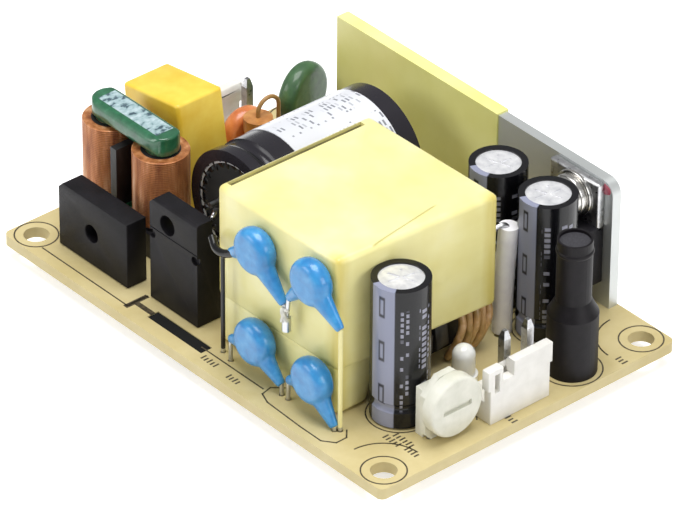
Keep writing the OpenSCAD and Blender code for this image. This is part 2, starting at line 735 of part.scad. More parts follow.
module thermistor_disc() {
    color([0.2, 0.42, 0.28]) translate([th_at[0], th_at[1], th_z]) rotate([0, 0, th_turn])
        difference() {
            union() {
                rotate([0, 90, 0]) pill_disc(th_d, th_t, 1);
                for (s = [-1, 1]) translate([0, s*2.5, -th_d/2 - 1])
                    cylinder(h = th_d/2, r1 = 0.5, r2 = 1.1, $fn = 32);
            }
            for (s = [-1, 1]) translate([0, s*2.5, -th_d])
                cylinder(h = th_d/2 + 1, d = thin_lead_d + 0.02, $fn = 24);
        }
}

module thermistor_leads() {
    color([0.78, 0.78, 0.8]) for (p = th_pins) lead(p, th_z - th_d/2 + 0.9);
}

module varistor_disc() {
    color([0.9, 0.5, 0.25]) translate([va_at[0], va_at[1], va_z]) difference() {
        union() {
            rotate([0, 90, 0]) pill_disc(va_d, va_t, 1);
            for (s = [-1, 1]) translate([0, s*2.5, -va_d/2 - 0.3])
                cylinder(h = va_d/2, r1 = 0.5, r2 = 1.1, $fn = 32);
        }
        for (s = [-1, 1]) translate([0, s*2.5, -va_d])
            cylinder(h = va_d/2 + 1.4, d = thin_lead_d + 0.02, $fn = 24);
    }
}

module varistor_leads() {
    color([0.78, 0.78, 0.8]) for (p = va_pins) lead(p, va_z - va_d/2 + 1.3);
}

module fuse_body() {
    color([0.88, 0.7, 0.45]) translate([fu_at[0], fu_at[1], top + standoff]) difference() {
        union() {
            cylinder(h = fu_h, d = fu_d - 0.3, $fn = 48);
            cylinder(h = 2, d = fu_d, $fn = 48);
            translate([0, 0, fu_h - 2]) cylinder(h = 2, d = fu_d, $fn = 48);
        }
        translate([0, 0, -1]) cylinder(h = 2, d = thin_lead_d + 0.02, $fn = 24);
        translate([0, 0, fu_h - 1]) cylinder(h = 2, d = thin_lead_d + 0.02, $fn = 24);
    }
}

module fuse_leads() {
    z1 = top + standoff + fu_h + 0.6;
    color([0.78, 0.78, 0.8]) {
        lead(fu_pins[0], top + standoff + 1);
        lead(fu_pins[1], z1);
        translate([fu_at[0], fu_at[1], z1 - 1.6]) cylinder(h = 1.6, d = thin_lead_d, $fn = 24);
        translate([fu_at[0], fu_at[1] + fu_bend, z1]) rotate([90, 0, 90])
            rotate_extrude(angle = 180, $fn = 48) translate([fu_bend, 0]) circle(d = thin_lead_d, $fn = 24);
    }
}

module bridge_body() {
    color([0.1, 0.1, 0.11]) translate([br_x, br_y0 + br_t, top + 0.1]) rotate([90, 0, 0]) difference() {
        linear_extrude(br_t) polygon([[-br_l/2, 0], [br_l/2, 0], [br_l/2, br_h],
            [-br_l/2 + 0.9, br_h], [-br_l/2, br_h - 0.9]]);
        translate([-0.3, br_h*0.49, -1]) cylinder(h = br_t + 2, d = 2.6, $fn = 32);
    }
}

module bridge_leads() {
    color([0.78, 0.78, 0.8]) for (p = br_pins) flat_lead(p, top + 0.1);
}

module transistor_body() {
    step = qt_h - 4.6;
    color([0.1, 0.1, 0.11]) translate([qt_x, qt_y0, top + 0.1]) difference() {
        intersection() {
            translate([-qt_w/2, 0, 0]) rotate([90, 0, 90]) linear_extrude(qt_w)
                polygon([[0, 0], [qt_t - 0.4, 0], [qt_t, 0.4], [qt_t, step - 0.9], [qt_flange_t, step],
                    [qt_flange_t, qt_h], [0.3, qt_h], [0, qt_h - 0.3]]);
            translate([0, qt_t + 1, 0]) rotate([90, 0, 0]) linear_extrude(qt_t + 2)
                polygon([[-qt_w/2, 0], [qt_w/2, 0], [qt_w/2, qt_h], [-qt_w/2 + 0.9, qt_h],
                    [-qt_w/2, qt_h - 0.9]]);
        }
        translate([-1.2, -1, qt_h - 2.9]) rotate([-90, 0, 0]) cylinder(h = qt_t + 2, d = 2.9, $fn = 32);
        for (s = [-1, 1]) translate([s*(qt_w/2 - 0.5), -0.5, step - 1])
            rotate([-90, 0, 0]) cylinder(h = 1, d = 1.3, $fn = 32);
        translate([-qt_w/2 - 1, -0.3, step - 0.1]) cube([qt_w + 2, 0.4, 0.15]);
    }
}

module transistor_leads() {
    color([0.78, 0.78, 0.8]) for (p = qt_pins) flat_lead(p, top + 0.1);
}

// ---- safety capacitors ----

// Dipped disc with two coated legs, in one X-Z plane
module safety_capacitor(c, y) {
    color([0.2, 0.55, 0.85]) {
        translate([c[0][0], y, c[0][1]]) rotate([90, 0, 0]) pill_disc(yc_d, yc_t, 1.2);
        for (k = [1, 2]) {
            dx = c[k][0] - c[0][0];
            dz = c[k][1] - c[0][1];
            translate([c[0][0] + dx*0.25, y, c[0][1] + dz*0.25]) rotate([0, atan2(dx, dz), 0])
                cylinder(h = 0.75*norm([dx, dz]), d1 = yc_t - 0.1, d2 = yc_leg_d, $fn = 32);
        }
    }
}

module safety_capacitor_1() { safety_capacitor(yc_1, yc_plane_hi); }
module safety_capacitor_2() { safety_capacitor(yc_2, yc_plane_hi); }
module safety_capacitor_3() { safety_capacitor(yc_3, yc_plane_lo); }
module safety_capacitor_4() { safety_capacitor(yc_4, yc_plane_lo); }

module safety_capacitor_leads() {
    m = [(yc_1[1][0] + yc_2[1][0])/2, yc_join_z];
    color([0.78, 0.78, 0.8]) difference() {
        union() {
            for (c = [yc_3, yc_4], k = [1, 2])
                lead([c[k][0], yc_plane_lo, thin_lead_d], c[k][1] + 0.4);
            for (c = [yc_1, yc_2]) {
                translate([c[1][0], yc_plane_hi, c[1][1]]) sphere(d = thin_lead_d, $fn = 24);
                rod_xz(c[1], m, yc_plane_hi, thin_lead_d);
            }
            rod_xz(m + [0, 0.4], m - [0, 1.6], yc_plane_hi, 2*thin_lead_d);
            for (e = [[yc_1[2], yc_pins[0][0]], [yc_2[2], yc_pins[1][0]]]) {
                knee = [e[1], e[0][1] - 1.6];
                translate([e[0][0], yc_plane_hi, e[0][1]]) sphere(d = thin_lead_d, $fn = 24);
                rod_xz(e[0], knee, yc_plane_hi, thin_lead_d);
                translate([knee[0], yc_plane_hi, knee[1]]) sphere(d = thin_lead_d, $fn = 24);
                lead([e[1], yc_plane_hi, thin_lead_d], knee[1]);
            }
        }
        safety_capacitor(yc_1, yc_plane_hi);
        safety_capacitor(yc_2, yc_plane_hi);
        safety_capacitor(yc_3, yc_plane_lo);
        safety_capacitor(yc_4, yc_plane_lo);
    }
}

// ---- output capacitors ----

module output_sleeve(i) {
    color([0.12, 0.12, 0.16]) translate([oc_at[i][0], oc_at[i][1], top + standoff])
        rotate_extrude($fn = 64) difference() {
            can_profile(oc_r, oc_h, 0.35);
            translate([0, sleeve_t]) can_profile(oc_r, oc_h, 0.35, sleeve_t);
            translate([-1, -1]) square([oc_r, 2]);
            translate([-1, oc_h - 1]) square([oc_r + 0.1, 2]);
        }
}

module output_can(i) {
    z = top + standoff + sleeve_t;
    h = oc_h - 2*sleeve_t;
    color([0.82, 0.83, 0.85]) translate([oc_at[i][0], oc_at[i][1], z]) difference() {
        rotate_extrude($fn = 64) can_profile(oc_r, oc_h, 0.35, sleeve_t);
        for (a = [0, 60, 120]) rotate([0, 0, a + 20]) translate([0, 0, h])
            cube([oc_r, 0.3, 0.3], center = true);
        for (p = oc_pins(i)) translate([p[0] - oc_at[i][0], p[1] - oc_at[i][1], -1])
            cylinder(h = 2, d = p[2] + 0.02, $fn = 24);
    }
}

module output_leads(i) {
    color([0.78, 0.78, 0.8]) for (p = oc_pins(i)) lead(p, top + standoff + sleeve_t + 1);
}

module output_capacitor_sleeve_1() { output_sleeve(0); }
module output_capacitor_sleeve_2() { output_sleeve(1); }
module output_capacitor_sleeve_3() { output_sleeve(2); }
module output_capacitor_can_1() { output_can(0); }
module output_capacitor_can_2() { output_can(1); }
module output_capacitor_can_3() { output_can(2); }
module output_capacitor_leads_1() { output_leads(0); }
module output_capacitor_leads_2() { output_leads(1); }
module output_capacitor_leads_3() { output_leads(2); }

// ---- rod choke ----

// Half profile of the shrunk sleeve's outside, less an offset
module rc_profile(o) {
    r = rc_d/2 - o;
    n = rc_neck_d/2 - o;
    polygon([[0, 0], [r, 0], [r, rc_wind_h], [r - 0.35, rc_wind_h + 0.6], [n, rc_wind_h + 2],
        [n, rc_h], [0, rc_h]]);
}

module rod_choke_sleeve() {
    color([0.07, 0.07, 0.09]) translate([rc_at[0], rc_at[1], top]) rotate_extrude($fn = 64)
        difference() {
            union() {
                rc_profile(0);
                translate([rc_neck_d/2 - 0.3, rc_h - 1.7]) circle(r = 0.45, $fn = 24);
            }
            translate([0, -0.01]) scale([1, 1.01]) rc_profile(rc_wall);
        }
}

module rod_choke_core() {
    color([0.3, 0.3, 0.32]) translate([rc_at[0], rc_at[1], top + 0.8])
        cylinder(h = rc_h - 1.2, r = rc_neck_d/2 - rc_wall - 0.02, $fn = 48);
}

module rod_choke_coil() {
    color([0.72, 0.4, 0.25]) {
        translate([rc_at[0], rc_at[1], top + standoff]) difference() {
            cylinder(h = rc_wind_h - standoff - 0.3, r = rc_d/2 - rc_wall - 0.02, $fn = 48);
            translate([0, 0, 0.8 - standoff])
                cylinder(h = rc_wind_h, r = rc_neck_d/2 - rc_wall + 0.02, $fn = 48);
        }
        for (p = rc_pins) lead(p, top + standoff + 0.1);
    }
}

// ---- trimmer ----

module trimmer_body() {
    w = tm_d - 1.4;
    z1 = tm_z + tm_d/2 - 0.1;
    c = 2.3;
    color([0.93, 0.93, 0.92]) difference() {
        union() {
            translate([tm_back - tm_plate_t, tm_y, 0]) rotate([90, 0, 90]) linear_extrude(tm_plate_t)
                polygon([[-w/2, top + 1.1], [-w/2 + 1, top], [w/2 - 1, top], [w/2, top + 1.1],
                    [w/2, z1 - c], [w/2 - c, z1], [-w/2 + c, z1], [-w/2, z1 - c]]);
            translate([tm_back - tm_plate_t - tm_base_t, tm_y - w/2 + 0.5, top])
                cube([tm_base_t + 0.1, w - 1, tm_z + 2.4 - top]);
        }
        translate([tm_back - 5, tm_y, tm_z]) rotate([0, 90, 0])
            cylinder(h = 6, r = tm_hub_r + 0.05, $fn = 48);
        translate([tm_back - tm_plate_t - tm_base_t - 1, tm_y, tm_z]) rotate([0, 90, 0])
            cylinder(h = 1.9, r = tm_collar_r + 0.2, $fn = 48);
        for (p = tm_pins)
            translate([p[0], p[1], top - 1]) cylinder(h = 2.4, d = p[2] + 0.05, $fn = 24);
    }
}

module trimmer_rotor() {
    hub_l = fine + tm_plate_t + tm_base_t - 0.8;
    color([0.95, 0.95, 0.94]) translate([tm_face, tm_y, tm_z]) rotate([0, -90, 0]) difference() {
        union() {
            rotate_extrude($fn = 96) {
                translate([0, 0.4]) square([tm_d/2, tm_t - 0.4]);
                square([tm_d/2 - 0.4, tm_t]);
                translate([tm_d/2 - 0.4, 0.4]) circle(r = 0.4, $fn = 24);
            }
            cylinder(h = tm_t + hub_l, r = tm_hub_r, $fn = 48);
            translate([0, 0, tm_t + hub_l]) cylinder(h = 0.6, r = tm_collar_r, $fn = 48);
        }
        cube([0.8, tm_d*0.55, 1], center = true);
    }
}

module trimmer_terminals() {
    color([0.78, 0.78, 0.8]) for (p = tm_pins) lead(p, top + 1.3);
}

// ---- indicator ----

module indicator_lens() {
    color([0.9, 0.95, 0.92, 0.6]) translate([led_at[0], led_at[1], top]) difference() {
        union() {
            cylinder(h = 1, d = led_d + 0.7, $fn = 48);
            cylinder(h = 3.8, d = led_d, $fn = 48);
            translate([0, 0, 3.8]) sphere(d = led_d, $fn = 48);
        }
        for (p = led_pins) translate([0, p[1] - led_at[1], -1]) cylinder(h = 2, d = p[2] + 0.02, $fn = 24);
    }
}

module indicator_leads() {
    color([0.78, 0.78, 0.8]) for (p = led_pins) lead(p, top + 1);
}

// ---- connectors ----

// Pin header with a base and one latch wall, outer face at wall_x, open for pins at ys
module header_housing(wall_x, ys, slot_y) {
    lip_h = 3;
    difference() {
        union() {
            translate([wall_x - cn_base_d, -cn_w/2 + 0.4, top]) cube([cn_base_d, cn_w - 0.8, cn_base_h]);
            translate([wall_x - cn_wall_t, -cn_w/2 + 0.4, top]) cube([cn_wall_t, cn_w - 0.8, cn_wall_h]);
            translate([wall_x - cn_wall_t, -cn_w/2, top + cn_wall_h - lip_h]) cube([cn_wall_t, cn_w, lip_h]);
            translate([wall_x - cn_wall_t, cn_w/2 - 0.4, top + cn_wall_h - 2]) rotate([90, 0, 0])
                linear_extrude(cn_w - 0.8) polygon([[0, 0], [-0.4, 0.7], [-0.4, 1.3], [0, 2]]);
        }
        for (y = ys) translate([cn_pin_x - cn_pin_w/2 - 0.02, y - cn_pin_w/2 - 0.02, top - 1])
            cube([cn_pin_w + 0.04, cn_pin_w + 0.04, cn_base_h + 2]);
        translate([wall_x - cn_wall_t - 1, slot_y - 0.4, top + cn_wall_h - 3.6])
            cube([cn_wall_t + 2, 0.8, 2.8]);
        translate([wall_x - cn_base_d - 1, -cn_w/2 + 1.9, top + 1.2])
            cube([1.6, cn_w - 3.8, cn_base_h]);
    }
}

// Square pin with a tapered tip
module header_pin(p) {
    s = cn_pin_w;
    h = cn_pin_h;
    translate([p[0], p[1], top]) intersection() {
        translate([-s/2, -s/2, -top - lead_out]) cube([s, s, h + top + lead_out]);
        translate([0, s, 0]) rotate([90, 0, 0]) linear_extrude(2*s)
            polygon([[-s, -9], [s, -9], [s, h - 1.2], [s/2, h - 1.2], [s/4, h], [-s/4, h],
                [-s/2, h - 1.2], [-s, h - 1.2]]);
        translate([-s, 0, 0]) rotate([90, 0, 90]) linear_extrude(2*s)
            polygon([[-s, -9], [s, -9], [s, h - 1.2], [s/2, h - 1.2], [s/4, h], [-s/4, h],
                [-s/2, h - 1.2], [-s, h - 1.2]]);
    }
}

module output_connector_housing() {
    color([0.95, 0.95, 0.93]) translate([0, out_y, 0])
        header_housing(out_wall_x, [0, cn_pitch], -cn_pitch);
}

module output_connector_pins() {
    color([0.85, 0.85, 0.86]) for (p = out_pins) header_pin(p);
}

module input_connector_housing() {
    color([0.95, 0.95, 0.93]) mirror([1, 0, 0]) translate([0, in_y, 0])
        header_housing(in_wall_x, [-cn_pitch, cn_pitch], 0);
}

module input_connector_pins() {
    color([0.85, 0.85, 0.86]) for (p = in_pins) header_pin(p);
}

board();
heatsink();
insulating_sheet();
rectifier_body();
rectifier_leads();
rectifier_screw();
transformer_core();
transformer_bobbin();
transformer_winding();
transformer_wrap();
transformer_pins();
transformer_flying_lead();
choke_core();
choke_bobbin();
choke_coils();
choke_pins();
line_capacitor_case();
line_capacitor_leads();
bulk_capacitor_can();
bulk_capacitor_sleeve();
bulk_capacitor_label();
bulk_capacitor_bung();
bulk_capacitor_leads();
thermistor_disc();
thermistor_leads();
varistor_disc();
varistor_leads();
fuse_body();
fuse_leads();
bridge_body();
bridge_leads();
transistor_body();
transistor_leads();
safety_capacitor_1();
safety_capacitor_2();
safety_capacitor_3();
safety_capacitor_4();
safety_capacitor_leads();
output_capacitor_sleeve_1();
output_capacitor_sleeve_2();
output_capacitor_sleeve_3();
output_capacitor_can_1();
output_capacitor_can_2();
output_capacitor_can_3();
output_capacitor_leads_1();
output_capacitor_leads_2();
output_capacitor_leads_3();
rod_choke_sleeve();
rod_choke_core();
rod_choke_coil();
trimmer_body();
trimmer_rotor();
trimmer_terminals();
indicator_lens();
indicator_leads();
output_connector_housing();
output_connector_pins();
input_connector_housing();
input_connector_pins();
solder_joints();
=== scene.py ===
import json
import math

import bpy
from mathutils import Matrix, Vector


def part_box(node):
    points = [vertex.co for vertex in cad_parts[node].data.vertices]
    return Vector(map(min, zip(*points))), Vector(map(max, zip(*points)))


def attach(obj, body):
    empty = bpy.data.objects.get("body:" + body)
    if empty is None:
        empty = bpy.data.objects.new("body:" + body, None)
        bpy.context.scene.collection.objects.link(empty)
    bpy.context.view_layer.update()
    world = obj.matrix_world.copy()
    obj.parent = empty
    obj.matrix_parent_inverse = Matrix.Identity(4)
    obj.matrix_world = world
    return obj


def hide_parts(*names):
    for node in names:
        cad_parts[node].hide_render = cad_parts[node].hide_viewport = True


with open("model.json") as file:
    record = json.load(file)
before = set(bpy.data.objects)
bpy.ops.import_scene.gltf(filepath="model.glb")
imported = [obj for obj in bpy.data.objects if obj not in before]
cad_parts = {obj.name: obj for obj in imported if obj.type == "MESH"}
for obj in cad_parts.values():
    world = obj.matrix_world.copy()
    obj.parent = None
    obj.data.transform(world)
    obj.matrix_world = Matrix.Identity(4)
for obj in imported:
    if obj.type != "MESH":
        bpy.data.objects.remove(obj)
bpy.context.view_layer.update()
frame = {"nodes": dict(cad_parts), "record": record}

bl_info = {
    "name": "Open Frame Power Supply",
    "version": (1, 0, 0),
    "blender": (4, 5, 0),
    "location": "View3D > Sidebar > Power Supply",
    "description": "Dresses an open frame power supply with windings, coatings, print and finishes",
    "category": "Object",
}

MM = 0.001


# ---------------------------------------------------------------- places from the frame

def low(node):
    """The low corner of a CAD node's box."""
    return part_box(node)[0]


def high(node):
    """The high corner of a CAD node's box."""
    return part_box(node)[1]


def middle(node):
    """The centre of a CAD node's box."""
    lo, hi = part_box(node)
    return (lo + hi) / 2


def box_mm(node):
    """A CAD node's box in millimetres."""
    lo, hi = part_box(node)
    return lo/MM, hi/MM


BOARD_TOP = high("board").z
BULK_AXIS = middle("bulk_capacitor_sleeve")
# Centre and tail tip of each safety capacitor, x and z in millimetres
DISCS = [((8.3, 20.6), (14.0, 15.3)), ((19.2, 21.5), (24.9, 17.1)),
         ((8.8, 7.0), (14.1, 3.1)), ((20.0, 7.0), (24.4, 2.1))]
# Zones of the tape's upright corners, painted deeper yellow as part folds of bunched tape and part
# painted shade: x and y spans, in millimetres
TAPE_FOLD_AND_SHADE_ZONES = [((20.9, 23.4), (-20.0, -17.9)), ((-1.6, 0.2), (-20.0, -18.2)),
                ((23.1, 25.0), (4.6, 7.0))]
# Corners of the tape's outline as wound by hand, a little out of square, in millimetres
TAPE_CORNERS = {(False, False): (-0.9, -19.4), (True, False): (22.6, -19.3),
                (True, True): (24.2, 6.5), (False, True): (-0.6, 6.2)}
# Height of the tape's lower edge, in millimetres
TAPE_SKIRT = 8.5
CAPS = ["output_capacitor_sleeve_1", "output_capacitor_sleeve_2", "output_capacitor_sleeve_3"]


# ---------------------------------------------------------------- settings

class BoardSettings(bpy.types.PropertyGroup):
    laminate: bpy.props.StringProperty(
        name="Laminate", description="Colour of the composite board, sRGB hex", default="CEBE8B")
    ink: bpy.props.StringProperty(
        name="Ink", description="Colour of the printed outlines, sRGB hex", default="2A241C")
    line: bpy.props.FloatProperty(
        name="Line width", description="Width of a printed line",
        default=0.2*MM, unit="LENGTH", precision=5)


class WindingSettings(bpy.types.PropertyGroup):
    wire: bpy.props.FloatProperty(
        name="Wire", description="Diameter of the choke's wire",
        default=0.28*MM, unit="LENGTH", precision=5)
    copper: bpy.props.StringProperty(
        name="Copper", description="Colour of the enamelled wire, sRGB hex", default="C47E4A")


class TapeSettings(bpy.types.PropertyGroup):
    colour: bpy.props.StringProperty(
        name="Tape", description="Colour of the transformer's tape, sRGB hex", default="F3EBA6")
    rim: bpy.props.FloatProperty(
        name="Rim", description="Roundness of the tape's folded edges",
        default=0.8*MM, unit="LENGTH", precision=5)


class CoatingSettings(bpy.types.PropertyGroup):
    blue: bpy.props.StringProperty(
        name="Blue", description="Colour of the safety capacitors' coating, sRGB hex", default="338FCD")
    grain: bpy.props.FloatProperty(
        name="Grain", description="Edge length of the mesh that a coating is modelled with",
        default=0.16*MM, unit="LENGTH", precision=5)


class StageSettings(bpy.types.PropertyGroup):
    lens: bpy.props.FloatProperty(
        name="Lens", description="Focal length of the camera on a 36 mm sensor", default=324.63, min=50)
    distance: bpy.props.FloatProperty(
        name="Distance", description="Distance from the camera to the point it aims at",
        default=0.79422, unit="LENGTH")
    roll: bpy.props.FloatProperty(
        name="Roll", description="Turn of the camera round its own axis",
        default=math.radians(0.406), subtype="ANGLE")


# ---------------------------------------------------------------- materials

def rgb(hex_code, alpha=1.0):
    """sRGB hex to linear colour."""
    out = []
    for i in (0, 2, 4):
        c = int(hex_code[i:i + 2], 16) / 255
        out.append(c / 12.92 if c <= 0.04045 else ((c + 0.055) / 1.055) ** 2.4)
    return (*out, alpha)


def shifted(hex_code, *steps):
    """The hex colour with its red, green and blue moved by so many steps of 255."""
    channels = [int(hex_code[i:i + 2], 16) for i in (0, 2, 4)]
    return "".join(f"{min(max(c + d, 0), 255):02X}" for c, d in zip(channels, steps))


def add(tree, kind, inputs=None, **settings):
    """Adds a node; an input is a value or another node's socket."""
    n = tree.nodes.new(kind)
    for key, value in settings.items():
        setattr(n, key, value)
    for key, value in (inputs or {}).items():
        if isinstance(value, bpy.types.NodeSocket):
            tree.links.new(value, n.inputs[key])
        else:
            n.inputs[key].default_value = value
    return n


def material(name, colour, roughness=0.5, metallic=0.0, **sockets):
    """A new material with one Principled shader; returns it, its tree and the shader."""
    mat = bpy.data.materials.new(name)
    mat.use_nodes = True
    tree = mat.node_tree
    shader = tree.nodes["Principled BSDF"]
    shader.inputs["Base Color"].default_value = rgb(colour)
    shader.inputs["Roughness"].default_value = roughness
    shader.inputs["Metallic"].default_value = metallic
    for key, value in sockets.items():
        shader.inputs[key.replace("_", " ")].default_value = value
    mat.diffuse_color = rgb(colour)
    return mat, tree, shader


def coords(tree, centre=(0, 0, 0), scale=(1, 1, 1)):
    """Object coordinates, counted from a centre."""
    where = add(tree, "ShaderNodeTexCoord")
    place = add(tree, "ShaderNodeMapping", {
        "Vector": where.outputs["Object"],
        "Location": [-c*s for c, s in zip(centre, scale)], "Scale": scale})
    return place.outputs["Vector"]


def noise(tree, size_mm, detail=3.0, rough=0.5, vector=None):
    """Noise whose blobs are about size_mm across."""
    return add(tree, "ShaderNodeTexNoise", {
        "Vector": vector or coords(tree), "Scale": 1/(size_mm*MM),
        "Detail": detail, "Roughness": rough}).outputs["Fac"]


def ramp(tree, fac, stops):
    """Colour ramp from (place, hex) pairs."""
    n = add(tree, "ShaderNodeValToRGB", {"Fac": fac})
    while len(n.color_ramp.elements) < len(stops):
        n.color_ramp.elements.new(0.5)
    for e, (at, colour) in zip(n.color_ramp.elements, stops):
        e.position = at
        e.color = rgb(colour)
    return n.outputs["Color"]


def mix(tree, fac, a, b):
    """Mixes two colours; a and b are hex or sockets."""
    a = rgb(a) if isinstance(a, str) else a
    b = rgb(b) if isinstance(b, str) else b
    n = add(tree, "ShaderNodeMix", data_type="RGBA")
    for socket, value in ((n.inputs[0], fac), (n.inputs[6], a), (n.inputs[7], b)):
        if isinstance(value, bpy.types.NodeSocket):
            tree.links.new(value, socket)
        else:
            socket.default_value = value
    return n.outputs[2]


def calc(tree, operation, a, b=0.0, c=0.0):
    """The result of one sum; each operand is a value or a socket."""
    return add(tree, "ShaderNodeMath", {0: a, 1: b, 2: c}, operation=operation).outputs[0]


def within(tree, value, start, end, soft=0.00002):
    """1 where value lies between start and end, with a soft border."""
    up = add(tree, "ShaderNodeMapRange", {
        "Value": value, "From Min": start - soft, "From Max": start + soft}).outputs[0]
    down = add(tree, "ShaderNodeMapRange", {
        "Value": value, "From Min": end - soft, "From Max": end + soft,
        "To Min": 1.0, "To Max": 0.0}).outputs[0]
    return calc(tree, "MULTIPLY", up, down)


def bump(tree, shader, height, depth_mm, strength=1.0):
    """Gives the shader a relief of about depth_mm."""
    n = add(tree, "ShaderNodeBump", {"Height": height, "Strength": strength, "Distance": depth_mm*MM})
    tree.links.new(n.outputs["Normal"], shader.inputs["Normal"])


def link(tree, socket, shader, name):
    """Drives one of the shader's inputs."""
    tree.links.new(socket, shader.inputs[name])


def tint(tree, shader, fac, stops):
    """Colours the shader with a ramp."""
    link(tree, ramp(tree, fac, stops), shader, "Base Color")


def sheen(tree, shader, fac, spread, least):
    """Varies the shader's roughness from least upwards."""
    link(tree, calc(tree, "MULTIPLY_ADD", fac, spread, least), shader, "Roughness")


def axes(tree, centre=(0, 0, 0)):
    """The three object coordinates, counted from a centre."""
    split = add(tree, "ShaderNodeSeparateXYZ", {"Vector": coords(tree, centre)})
    return [split.outputs[i] for i in range(3)]


def dashes(tree, along, across, offset, sizes):
    """Rows of short white dashes on black, in the way of a brick wall."""
    flat = add(tree, "ShaderNodeCombineXYZ", {"X": along, "Y": across}).outputs[0]
    return add(tree, "ShaderNodeTexBrick", {
        "Vector": flat, "Color1": (1, 1, 1, 1), "Color2": (0, 0, 0, 1), "Mortar": (0, 0, 0, 1), **sizes},
        offset=offset, offset_frequency=2).outputs["Color"]


def sharpen(tree, fac, start, end):
    """0 below start and 1 above end."""
    return add(tree, "ShaderNodeMapRange", {"Value": fac, "From Min": start, "From Max": end}).outputs[0]


def laminate(settings):
    # CEM-1 composite laminate, pressed: a cream sheet with cloudy paper fibre under a satin resin
    mat, tree, shader = material("cem1_laminate", settings.laminate, 0.42, Specular_IOR_Level=0.45)
    cloud = noise(tree, 7, 4, 0.6)
    fibre = noise(tree, 0.5, 3, 0.7, coords(tree, scale=(1, 0.35, 1)))
    colour = ramp(tree, cloud, [(0.3, shifted(settings.laminate, -7, -8, -11)),
                                (0.7, shifted(settings.laminate, 7, 8, 10))])
    dark = mix(tree, ramp(tree, fibre, [(0.35, "000000"), (0.8, "404040")]), colour, "B59F66")
    link(tree, dark, shader, "Base Color")
    bump(tree, shader, fibre, 0.02, 0.5)
    return mat


def print_ink(settings):
    # Screen-printed epoxy ink: thin near-black lines with slightly worn cover
    mat, tree, shader = material("printed_ink", settings.ink, 0.5)
    worn = noise(tree, 0.4, 2, 0.6)
    tint(tree, shader, worn, [(0.35, settings.ink), (0.75, shifted(settings.ink, 60, 54, 38))])
    return mat


def rolled_aluminium():
    # Rolled aluminium sheet: satin, with faint rolling lines along its length
    mat, tree, shader = material("rolled_aluminium", "D3D6D6", 0.42, 0.65)
    lines = noise(tree, 0.25, 3, 0.7, coords(tree, scale=(0.03, 1, 1)))
    cloud = noise(tree, 14, 2, 0.5)
    tint(tree, shader, cloud, [(0.3, "C8CCCB"), (0.7, "D6D9D8")])
    sheen(tree, shader, lines, 0.25, 0.3)
    bump(tree, shader, lines, 0.01, 0.4)
    return mat


def drawn_aluminium():
    # Deep-drawn aluminium can: bright, with a fine turned sheen
    mat, tree, shader = material("drawn_aluminium", "E4E5E8", 0.4, 0.5)
    grain = noise(tree, 1.4, 3, 0.6)
    tint(tree, shader, grain, [(0.3, "DCDDE1"), (0.7, "FAFAFB")])
    sheen(tree, shader, grain, 0.2, 0.28)
    return mat


def insulating_film():
    # Polyester insulating film, calendered: pale yellow, slightly cloudy and glossy
    mat, tree, shader = material("polyester_film", "EEEB96", 0.32, Coat_Weight=0.15)
    cloud = noise(tree, 9, 3, 0.5)
    tint(tree, shader, cloud, [(0.3, "E6E38A"), (0.7, "F3F1A6")])
    bump(tree, shader, noise(tree, 5, 2), 0.08, 0.5)
    return mat


def moulded_epoxy():
    # Transfer-moulded epoxy: near black with a fine matt grain from the mould
    mat, tree, shader = material("moulded_epoxy", "121114", 0.5, Specular_IOR_Level=0.2)
    grain = noise(tree, 0.18, 3, 0.7)
    tint(tree, shader, noise(tree, 3, 3), [(0.3, "0D0C0F"), (0.75, "1A181D")])
    sheen(tree, shader, grain, 0.3, 0.33)
    bump(tree, shader, grain, 0.03, 0.5)
    return mat


def tinned_wire():
    # Tin-plated copper: bright grey metal with a soft uneven sheen
    mat, tree, shader = material("tinned_copper", "C9CACC", 0.3, 1.0)
    cloud = noise(tree, 0.8, 2, 0.5)
    tint(tree, shader, cloud, [(0.3, "B4B5B8"), (0.75, "DDDDDE")])
    sheen(tree, shader, cloud, 0.25, 0.18)
    return mat


def sleeved_wire():
    # The safety capacitors' leads: tinned, with thin sleeving on the two long ones, black and pale
    mat, tree, shader = material("tinned_copper_sleeved", "C9CACC", 0.3, 1.0)
    lo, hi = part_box("safety_capacitor_leads")
    x, _, z = axes(tree)
    left = within(tree, x, lo.x - MM, lo.x + 1.2*MM)
    ends = calc(tree, "MAXIMUM", left, within(tree, x, hi.x - 0.62*MM, hi.x + MM))
    sleeved = calc(tree, "MULTIPLY", ends, within(tree, z, BOARD_TOP + 0.6*MM, 0.1))
    link(tree, mix(tree, sleeved, "C9CACC", mix(tree, left, "EFE6A6", "161618")), shader, "Base Color")
    link(tree, calc(tree, "SUBTRACT", 1.0, sleeved), shader, "Metallic")
    return mat


def lacquered_lead():
    # The fuse's wire: tinned copper, with tan lacquer above the board
    mat, tree, shader = material("tinned_copper_lacquered", "C9CACC", 0.35, 1.0)
    above = within(tree, axes(tree)[2], BOARD_TOP + 0.5*MM, 0.1)
    link(tree, mix(tree, above, "C9CACC", "A9814C"), shader, "Base Color")
    link(tree, calc(tree, "SUBTRACT", 1.0, above), shader, "Metallic")
    return mat


def nickel_plate():
    # Nickel-plated steel screw: bright with fine drive marks
    mat, tree, shader = material("nickel_plated_steel", "D8D6D2", 0.2, 1.0)
    sheen(tree, shader, noise(tree, 0.3, 2), 0.2, 0.12)
    return mat


def ferrite():
    # Sintered manganese-zinc ferrite: dark grey, matt, with tiny pores
    mat, tree, shader = material("sintered_ferrite", "35343A", 0.6)
    pores = noise(tree, 0.25, 4, 0.8)
    tint(tree, shader, pores, [(0.3, "232227"), (0.7, "3E3D43")])
    bump(tree, shader, pores, 0.04, 0.6)
    return mat


